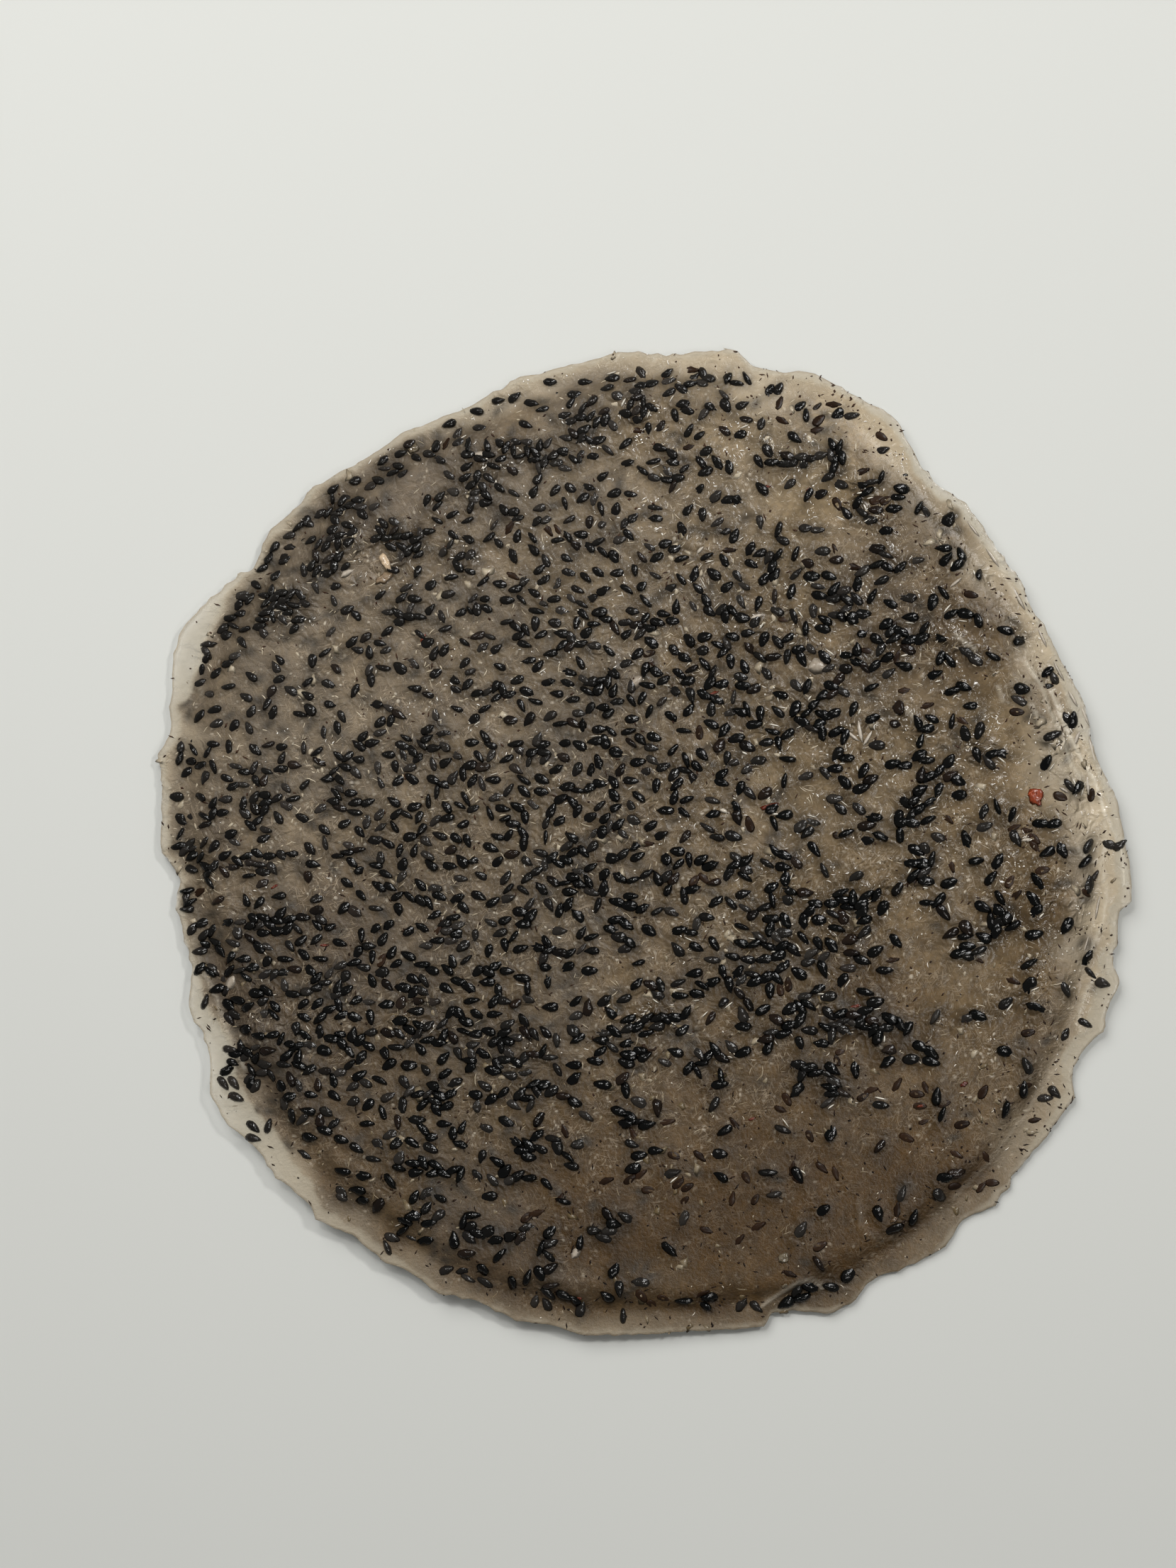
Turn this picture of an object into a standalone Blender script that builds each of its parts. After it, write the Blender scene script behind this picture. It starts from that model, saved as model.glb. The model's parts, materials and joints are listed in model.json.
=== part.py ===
"""A raw coconut rice cracker: one round sheet of rice starch and coconut, dried in the sun.

The sheet is thickest in the middle and thins to a clear film at its torn, scalloped rim.
Black sesame seeds lie half sunk in its face. It rests on the flat middle of its underside,
and its rim lifts and waves a little, as the starch curls when it dries.

Metres, +Z up. The origin is the middle of the flat underside. Tables are in millimetres and
degrees, with angles counted from +X towards +Y.
"""
import math
import random

import bmesh
import bpy
from mathutils import Matrix, Vector, noise
from mathutils.bvhtree import BVHTree
from mathutils.geometry import delaunay_2d_cdt

MM = 0.001

# --- driving dimensions ---------------------------------------------------------------------
RIM_RADIUS = 103.0 * MM          # mean radius of the sheet
BODY_THICKNESS = 2.6 * MM        # starch and coconut, away from the rim
FILM_THICKNESS = 0.5 * MM        # clear starch film along the rim
SHOULDER_WIDTH = 6.0 * MM        # from the film up to the full thickness
FACE_SWELL = 0.22 * MM           # how deep the low swells of the face run
SWELL_LENGTH = 24.0 * MM         # from one swell to the next
REST_REACH = 60.0 * MM           # from the middle to each corner of the flat spot it lies on
REST_TURN = 70.0                 # degrees: the first of that spot's three corners
RIM_LIFT = 2.4 * MM              # mean height of the curled rim's underside
LIFT_START = 0.6                 # slope at the flat spot's sides, against an even rise from there
RIM_WAVES = ((2, 1.3 * MM, 35.0), (3, 0.7 * MM, 130.0))  # waves round the rim, height, crest

SEED_LENGTH = 3.5 * MM
SEED_WIDTH = 2.1 * MM
SEED_HEIGHT = 1.3 * MM
SEED_TAPER = 0.32                # how much the pointed end is narrower than the round one
SEED_SINK = 0.12                 # share of its height by which its middle lies below the face
SEED_COUNT = 176
SEED_GAP = 4.6 * MM              # least distance between two seeds' middles
SEED_SIZES = (0.9, 1.1)          # smallest and largest, against the sizes above
SEED_NOD = 6.0                   # degrees that a seed's ends may dip, either way
DRAW_SEED = 11                   # one scatter out of many

RIM_STEP = 2.5 * MM              # spacing of the points along the torn rim
FACE_STEP = 9.0 * MM             # spacing of the points across the face
SHOULDER_RINGS = ((0.0, 132), (0.45, 116), (1.0, 100))  # share of the way up it, and points
EVEN_OUT = range(-8, 9, 2)       # degrees either way over which the tears are evened out
LIP_CREST = 0.45                 # share of the way up the shoulder where the lip stands
EDGE_ANGLE = 35.0                # degrees: a steeper edge is shaded sharp

STARCH_COLOR = (0.27, 0.22, 0.17)      # greige, translucent dried starch
SEED_COLOR = (0.012, 0.013, 0.015)     # black sesame hull

# The torn rim: each tear's corner, as its angle, its radius in mm, and how far the edge from
# there to the next corner bows outwards, in mm. Scallops bow inwards.
RIM_TEARS = (
    (7.7, 99.4, -0.6), (11.7, 97.2, 0.1), (18.9, 97.8, -1.0), (28.5, 96.8, -0.8),
    (33.8, 97.3, -0.8), (46.5, 99.3, -2.6), (57.8, 103.4, 0.5), (61.9, 104.7, 0.0),
    (70.0, 105.8, 0.0), (76.6, 103.5, -0.5), (79.2, 106.5, 0.0), (87.3, 103.7, 0.1),
    (92.3, 104.3, -0.2), (102.6, 101.9, 0.0), (105.0, 102.5, -1.8), (120.0, 101.1, -1.0),
    (132.9, 103.2, -0.7), (140.4, 103.5, 0.0), (145.0, 101.7, -0.3), (146.5, 103.4, 0.0),
    (155.0, 108.0, 0.2), (160.6, 106.9, -0.4), (164.1, 105.0, -1.8), (169.6, 105.2, 0.0),
    (173.8, 102.8, 0.2), (181.4, 102.9, -1.0), (185.0, 98.9, 0.0), (187.9, 100.5, -0.2),
    (195.0, 99.8, -0.4), (199.2, 102.3, 0.1), (202.0, 102.9, -0.2), (203.1, 102.2, -0.9),
    (210.1, 106.6, 0.1), (214.9, 106.5, -0.9), (222.5, 105.6, -1.0), (229.0, 105.9, -1.2),
    (238.0, 104.7, -0.9), (245.5, 105.3, -1.1), (255.0, 105.2, -0.7), (263.2, 105.6, -0.3),
    (275.0, 104.4, -0.2), (283.9, 106.3, 0.0), (285.0, 104.3, -0.9), (291.1, 107.7, 0.3),
    (294.1, 108.0, 0.0), (296.6, 105.8, -0.6), (300.7, 107.0, -0.4), (306.7, 107.7, -0.1),
    (310.0, 105.5, -0.3), (314.0, 108.0, -0.7), (316.8, 107.6, 0.0), (317.6, 106.5, -0.4),
    (329.3, 106.7, -0.9), (333.6, 103.4, -0.7), (337.5, 105.9, -0.6), (343.3, 105.6, -0.2),
    (346.9, 102.2, 0.0), (347.6, 102.9, -0.4), (351.8, 102.3, 0.0), (352.9, 104.1, 0.4),
)

# Width of the clear film round the rim, and height of the lip that is folded back beside it.
FILM_WIDTHS = (
    (0, 5.5), (20, 4.5), (50, 5.0), (70, 4.0), (95, 3.5), (120, 3.5), (140, 4.0), (157, 6.5),
    (166, 4.2), (185, 4.2), (198, 6.0), (212, 8.5), (225, 6.5), (245, 4.5), (270, 4.5),
    (290, 4.5), (310, 5.0), (325, 5.0), (345, 6.5),
)
LIP_HEIGHTS = (
    (0, 0.5), (20, 0.8), (50, 0.6), (75, 0.1), (180, 0.0), (275, 0.1), (288, 0.9), (300, 0.1),
    (330, 0.2),
)

# Where the seeds lie thickest: x and y of each drift, its spread in mm, and its weight
# against the even scatter, which counts 1. A bare patch has the share of seeds that it lacks.
SEED_DRIFTS = (
    (-8, 88, 12, 3.0), (-38, 78, 13, 3.4), (-64, 60, 13, 3.4), (-86, 34, 12, 2.0),
    (-84, 2, 16, 2.2), (-76, -32, 16, 2.2), (-50, -40, 16, 1.6), (0, 42, 16, 1.2),
    (4, 6, 16, 1.2), (40, 62, 12, 1.0), (56, 34, 18, 1.6), (40, 8, 14, 1.0), (22, -24, 14, 1.2),
    (-32, 10, 14, 0.8), (-18, -52, 16, 0.8), (64, -12, 16, 0.6), (36, -84, 6, 1.5),
)
BARE_PATCHES = ((38, -66, 30, 0.55), (74, 74, 16, 0.5))


def add_collection(name):
    """Links a new collection to the scene."""
    collection = bpy.data.collections.new(name)
    bpy.context.scene.collection.children.link(collection)
    return collection


def add_material(name, color, roughness):
    """A Principled material; nothing here is metal."""
    material = bpy.data.materials.new(name)
    material.use_nodes = True
    shader = material.node_tree.nodes["Principled BSDF"]
    shader.inputs["Base Color"].default_value = (*color, 1.0)
    shader.inputs["Roughness"].default_value = roughness
    shader.inputs["Metallic"].default_value = 0.0
    return material


def polar(angle, radius):
    """The point of the plan at an angle in degrees and a radius."""
    return Vector((radius * math.cos(math.radians(angle)), radius * math.sin(math.radians(angle))))


def smoothstep(t):
    t = min(max(t, 0.0), 1.0)
    return t * t * (3.0 - 2.0 * t)


def round_table(table, angle):
    """Reads a table of (angle, mm) with straight steps between its rows, in metres."""
    angle %= 360.0
    rows = [(table[-1][0] - 360.0, table[-1][1]), *table, (table[0][0] + 360.0, table[0][1])]
    for (low, before), (high, after) in zip(rows, rows[1:]):
        if low <= angle <= high:
            return MM * (before + (after - before) * (angle - low) / (high - low))


def tear_spans():
    """Each scallop of the rim: its first corner's row and its last corner's angle and radius."""
    ends = [*RIM_TEARS[1:], (RIM_TEARS[0][0] + 360.0, RIM_TEARS[0][1], 0.0)]
    return [(*start, end[0], end[1]) for start, end in zip(RIM_TEARS, ends)]


def rim_radius(angle):
    """Radius of the torn rim at an angle."""
    angle = RIM_TEARS[0][0] + (angle - RIM_TEARS[0][0]) % 360.0
    for low, first, bow, high, last in tear_spans():
        if angle <= high:
            t = (angle - low) / (high - low)
            return MM * (first + (last - first) * t + 4.0 * bow * t * (1.0 - t))


def shore_radius(angle):
    """The rim with its tears evened out, which the film and the shoulder follow."""
    return sum(rim_radius(angle + offset) for offset in EVEN_OUT) / len(EVEN_OUT)


def film_edge(angle):
    """Radius of the film's inner edge, where the shoulder starts."""
    return shore_radius(angle) - round_table(FILM_WIDTHS, angle)


def beyond_rest(angle, radius):
    """How far a point lies outside the flat spot, square to the nearest of its three sides."""
    off_side = (angle - REST_TURN) % 120.0 - 60.0
    return max(0.0, radius * math.cos(math.radians(off_side)) - 0.5 * REST_REACH)


def underside(angle, radius):
    """Height of the underside: flat in the middle, curling up and waving towards the rim."""
    share = beyond_rest(angle, radius) / beyond_rest(angle, RIM_RADIUS)
    waves = sum(height * math.cos(math.radians(count * (angle - crest)))
                for count, height, crest in RIM_WAVES)
    return share * (LIFT_START + (1.0 - LIFT_START) * share) * (RIM_LIFT + waves)


def thickness(angle, radius):
    """Thickness of the sheet: film, a shoulder with a folded lip on it, then the body."""
    climb = (film_edge(angle) - radius) / SHOULDER_WIDTH
    lip = round_table(LIP_HEIGHTS, angle) * max(0.0, 1.0 - abs(climb - LIP_CREST) / LIP_CREST)
    swell = FACE_SWELL * noise.noise(polar(angle, radius).to_3d() / SWELL_LENGTH)
    return FILM_THICKNESS + smoothstep(climb) * (BODY_THICKNESS - FILM_THICKNESS + swell) + lip


def rim_points():
    """Points along the torn rim, with one on each corner."""
    points = []
    for low, _, _, high, _ in tear_spans():
        steps = max(1, round(math.radians(high - low) * RIM_RADIUS / RIM_STEP))
        for step in range(steps):
            angle = low + (high - low) * step / steps
            points.append(polar(angle, rim_radius(angle)))
    return points


def ring_points(climb, count):
    """A ring that follows the film's inner edge, a share of the way up the shoulder."""
    angles = [360.0 * step / count for step in range(count)]
    return [polar(angle, film_edge(angle) - climb * SHOULDER_WIDTH) for angle in angles]


def face_points():
    """The flat spot's corners and a staggered grid over the body, clear of the rings."""
    corners = [polar(REST_TURN + 120.0 * corner, REST_REACH) for corner in range(3)]
    points = list(corners)
    reach = math.ceil(RIM_RADIUS / FACE_STEP)
    row_step = FACE_STEP * math.sqrt(0.75)
    for row in range(-reach - 2, reach + 3):
        for column in range(-reach, reach + 1):
            point = Vector(((column + 0.5 * (row % 2)) * FACE_STEP, row * row_step))
            angle = math.degrees(math.atan2(point.y, point.x))
            on_body = point.length < film_edge(angle) - SHOULDER_WIDTH - 0.5 * FACE_STEP
            if on_body and all((point - corner).length > 0.5 * FACE_STEP for corner in corners):
                points.append(point)
    return points


def make_sheet(material):
    """The sheet's underside as an open surface, thickened upwards by Solidify."""
    rim = rim_points()
    rings = [point for climb, count in SHOULDER_RINGS for point in ring_points(climb, count)]
    points = [*rim, *rings, *face_points()]
    rim_edges = [(i, (i + 1) % len(rim)) for i in range(len(rim))]
    plan, _, triangles, *_ = delaunay_2d_cdt(points, rim_edges, [], 1, 1e-7)

    polars = [(math.degrees(math.atan2(p.y, p.x)), p.length) for p in plan]
    mesh = bpy.data.meshes.new("cracker")
    mesh.from_pydata([(p.x, p.y, underside(*at)) for p, at in zip(plan, polars)], [], triangles)
    mesh.materials.append(material)
    sheet = bpy.data.objects.new("cracker", mesh)

    depths = [thickness(*at) for at in polars]
    thickest = max(depths)
    group = sheet.vertex_groups.new(name="thickness")
    for index, depth in enumerate(depths):
        group.add([index], depth / thickest, "REPLACE")
    solidify = sheet.modifiers.new("thickness", "SOLIDIFY")
    solidify.thickness = thickest
    solidify.offset = 1.0
    solidify.vertex_group = group.name
    return sheet


def make_seed_mesh(material):
    """A sesame seed: flat, round at one end and pointed at the other."""
    shape = bmesh.new()
    bmesh.ops.create_uvsphere(shape, u_segments=6, v_segments=4, radius=0.5,
                              matrix=Matrix.Rotation(math.radians(90.0), 4, "Y"))  # poles on X
    for vertex in shape.verts:
        along = 2.0 * vertex.co.x
        vertex.co.x *= SEED_LENGTH
        vertex.co.y *= SEED_WIDTH * (1.0 - SEED_TAPER * along)
        vertex.co.z *= SEED_HEIGHT * (1.0 - 0.5 * SEED_TAPER * along)
    mesh = bpy.data.meshes.new("sesame_seed")
    shape.to_mesh(mesh)
    shape.free()
    mesh.materials.append(material)
    return mesh


def nearness(point, x, y, spread):
    """1 at the middle of a drift, falling away over its spread; the place is in mm."""
    return math.exp(-0.5 * ((point / MM - Vector((x, y))).length / spread) ** 2)


def seed_density(point):
    """How thickly the seeds lie at a point, against an even scatter of 1."""
    density = 1.0
    for x, y, spread, weight in SEED_DRIFTS:
        density += weight * nearness(point, x, y, spread)
    for x, y, spread, missing in BARE_PATCHES:
        density *= 1.0 - missing * nearness(point, x, y, spread)
    return density


def seed_places(draw):
    """Places drawn by the density, none closer than the least gap."""
    highest = 1.0 + max(weight for *_, weight in SEED_DRIFTS)
    places = []
    while len(places) < SEED_COUNT:
        angle = draw.uniform(0.0, 360.0)
        radius = RIM_RADIUS * math.sqrt(draw.random())
        point = polar(angle, radius)
        on_body = radius < film_edge(angle) - 0.5 * SEED_LENGTH
        if not on_body or draw.random() > seed_density(point) / highest:
            continue
        if all((point - other).length > SEED_GAP for other in places):
            places.append(point)
    return places


def lay_seeds(sheet, collection, seed_mesh):
    """Lays each seed on the face, along its slope, at a heading of its own."""
    draw = random.Random(DRAW_SEED)
    face = BVHTree.FromObject(sheet, bpy.context.evaluated_depsgraph_get())
    for number, point in enumerate(seed_places(draw)):
        above = Vector((point.x, point.y, 10.0 * BODY_THICKNESS))
        spot, normal, _, _ = face.ray_cast(above, Vector((0.0, 0.0, -1.0)))
        seed = bpy.data.objects.new(f"seed_{number:03d}", seed_mesh)
        heading = Matrix.Rotation(draw.uniform(0.0, math.tau), 4, "Z")
        nod = Matrix.Rotation(math.radians(draw.uniform(-SEED_NOD, SEED_NOD)), 4, "Y")
        size = Matrix.Scale(draw.uniform(*SEED_SIZES), 4)
        slope = normal.to_track_quat("Z", "Y").to_matrix().to_4x4()
        middle = Matrix.Translation(spot - SEED_SINK * SEED_HEIGHT * normal)
        seed.matrix_world = middle @ slope @ heading @ nod @ size
        collection.objects.link(seed)


def fuse(sheet, collection):
    """Joins the seeds to the sheet in one union, then removes the loose ones."""
    union = sheet.modifiers.new("fuse_seeds", "BOOLEAN")
    union.operation = "UNION"
    union.operand_type = "COLLECTION"
    union.collection = collection
    union.solver = "EXACT"
    union.material_mode = "TRANSFER"
    fused = bpy.data.meshes.new_from_object(
        sheet.evaluated_get(bpy.context.evaluated_depsgraph_get()))
    sheet.modifiers.clear()
    sheet.vertex_groups.clear()
    sheet.data = fused
    fused.name = sheet.name
    for seed in list(collection.objects):
        bpy.data.objects.remove(seed)
    bpy.data.collections.remove(collection)


def build():
    for old in list(bpy.data.objects):
        bpy.data.objects.remove(old)
    starch = add_material("dried_rice_starch", STARCH_COLOR, 0.35)
    hull = add_material("black_sesame_hull", SEED_COLOR, 0.3)

    cracker = make_sheet(starch)
    add_collection("coconut_rice_cracker").objects.link(cracker)
    bpy.context.view_layer.update()
    loose_seeds = add_collection("loose_seeds")
    lay_seeds(cracker, loose_seeds, make_seed_mesh(hull))
    bpy.context.view_layer.update()
    fuse(cracker, loose_seeds)
    cracker.data.shade_smooth()
    cracker.data.set_sharp_from_angle(angle=math.radians(EDGE_ANGLE))


build()
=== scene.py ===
"""A raw coconut rice cracker, dressed: a round sheet of dried rice starch and grated coconut.

The sheet is thick and clouded in the middle and thins to a clear film at its torn rim. Black
sesame seeds lie in it, most of them just breaking the face, others sunk in the starch. It lies
on its flat underside, its rim a little curled, and is seen from straight above.

Metres, +Z up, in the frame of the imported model. Tables are in millimetres and degrees, with
angles counted from +X towards +Y.
"""
import json
import math

import bpy
import numpy as np
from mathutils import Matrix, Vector, noise

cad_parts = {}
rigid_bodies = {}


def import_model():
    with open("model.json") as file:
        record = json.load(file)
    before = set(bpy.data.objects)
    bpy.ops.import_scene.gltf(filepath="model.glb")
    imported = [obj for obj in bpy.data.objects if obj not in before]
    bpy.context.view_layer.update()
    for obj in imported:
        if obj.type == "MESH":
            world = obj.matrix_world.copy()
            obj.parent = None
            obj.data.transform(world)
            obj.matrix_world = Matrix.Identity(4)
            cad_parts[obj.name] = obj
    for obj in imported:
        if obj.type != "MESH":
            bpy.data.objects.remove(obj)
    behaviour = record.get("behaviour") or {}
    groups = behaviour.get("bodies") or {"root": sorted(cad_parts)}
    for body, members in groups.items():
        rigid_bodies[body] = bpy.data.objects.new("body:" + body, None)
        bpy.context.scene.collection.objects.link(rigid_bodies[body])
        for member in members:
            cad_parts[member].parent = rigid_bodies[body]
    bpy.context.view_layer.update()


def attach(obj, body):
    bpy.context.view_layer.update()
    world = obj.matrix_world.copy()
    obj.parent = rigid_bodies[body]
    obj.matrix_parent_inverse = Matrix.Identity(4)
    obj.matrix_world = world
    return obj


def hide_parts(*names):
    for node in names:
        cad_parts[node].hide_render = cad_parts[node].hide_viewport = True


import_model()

MM = 0.001
TAU = math.tau
draw = np.random.default_rng(5)    # one scatter out of many

# --- the sheet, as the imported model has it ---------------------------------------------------
RIM_RADIUS = 103.0        # mean radius of the sheet
BODY_THICKNESS = 2.6      # starch and coconut, away from the rim
FILM_THICKNESS = 0.5      # clear starch film along the rim
SHOULDER_WIDTH = 6.0      # from the film up to the full thickness
FACE_SWELL = 0.22         # how deep the low swells of the face run
SWELL_LENGTH = 24.0       # from one swell to the next
REST_REACH = 60.0         # from the middle to each corner of the flat spot it lies on
REST_TURN = 70.0          # the first of that spot's three corners
RIM_LIFT = 2.4            # mean height of the curled rim's underside
LIFT_START = 0.6          # slope at the flat spot's sides, against an even rise from there
RIM_WAVES = ((2, 1.3, 35.0), (3, 0.7, 130.0))    # waves round the rim, height, crest
EVEN_OUT = range(-8, 9, 2)    # degrees either way over which the tears are evened out
LIP_CREST = 0.45          # share of the way up the shoulder where the lip stands

# Each tear of the rim: its corner's angle and radius, and how far the edge from there to the
# next corner bows outwards.
RIM_TEARS = (
    (7.7, 99.4, -0.6), (11.7, 97.2, 0.1), (18.9, 97.8, -1.0), (28.5, 96.8, -0.8),
    (33.8, 97.3, -0.8), (46.5, 99.3, -2.6), (57.8, 103.4, 0.5), (61.9, 104.7, 0.0),
    (70.0, 105.8, 0.0), (76.6, 103.5, -0.5), (79.2, 106.5, 0.0), (87.3, 103.7, 0.1),
    (92.3, 104.3, -0.2), (102.6, 101.9, 0.0), (105.0, 102.5, -1.8), (120.0, 101.1, -1.0),
    (132.9, 103.2, -0.7), (140.4, 103.5, 0.0), (145.0, 101.7, -0.3), (146.5, 103.4, 0.0),
    (155.0, 108.0, 0.2), (160.6, 106.9, -0.4), (164.1, 105.0, -1.8), (169.6, 105.2, 0.0),
    (173.8, 102.8, 0.2), (181.4, 102.9, -1.0), (185.0, 98.9, 0.0), (187.9, 100.5, -0.2),
    (195.0, 99.8, -0.4), (199.2, 102.3, 0.1), (202.0, 102.9, -0.2), (203.1, 102.2, -0.9),
    (210.1, 106.6, 0.1), (214.9, 106.5, -0.9), (222.5, 105.6, -1.0), (229.0, 105.9, -1.2),
    (238.0, 104.7, -0.9), (245.5, 105.3, -1.1), (255.0, 105.2, -0.7), (263.2, 105.6, -0.3),
    (275.0, 104.4, -0.2), (283.9, 106.3, 0.0), (285.0, 104.3, -0.9), (291.1, 107.7, 0.3),
    (294.1, 108.0, 0.0), (296.6, 105.8, -0.6), (300.7, 107.0, -0.4), (306.7, 107.7, -0.1),
    (310.0, 105.5, -0.3), (314.0, 108.0, -0.7), (316.8, 107.6, 0.0), (317.6, 106.5, -0.4),
    (329.3, 106.7, -0.9), (333.6, 103.4, -0.7), (337.5, 105.9, -0.6), (343.3, 105.6, -0.2),
    (346.9, 102.2, 0.0), (347.6, 102.9, -0.4), (351.8, 102.3, 0.0), (352.9, 104.1, 0.4),
)
# How wide the film is, and how high the lip stands on the shoulder: angle and mm.
FILM_WIDTHS = (
    (0, 5.5), (20, 4.5), (50, 5.0), (70, 4.0), (95, 3.5), (120, 3.5), (140, 4.0), (157, 6.5),
    (166, 4.2), (185, 4.2), (198, 6.0), (212, 8.5), (225, 6.5), (245, 4.5), (270, 4.5),
    (290, 4.5), (310, 5.0), (325, 5.0), (345, 6.5),
)
LIP_HEIGHTS = (
    (0, 0.5), (20, 0.8), (50, 0.6), (75, 0.1), (180, 0.0), (281, 0.05), (288, 0.9), (297, 0.1),
    (330, 0.2),
)

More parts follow.
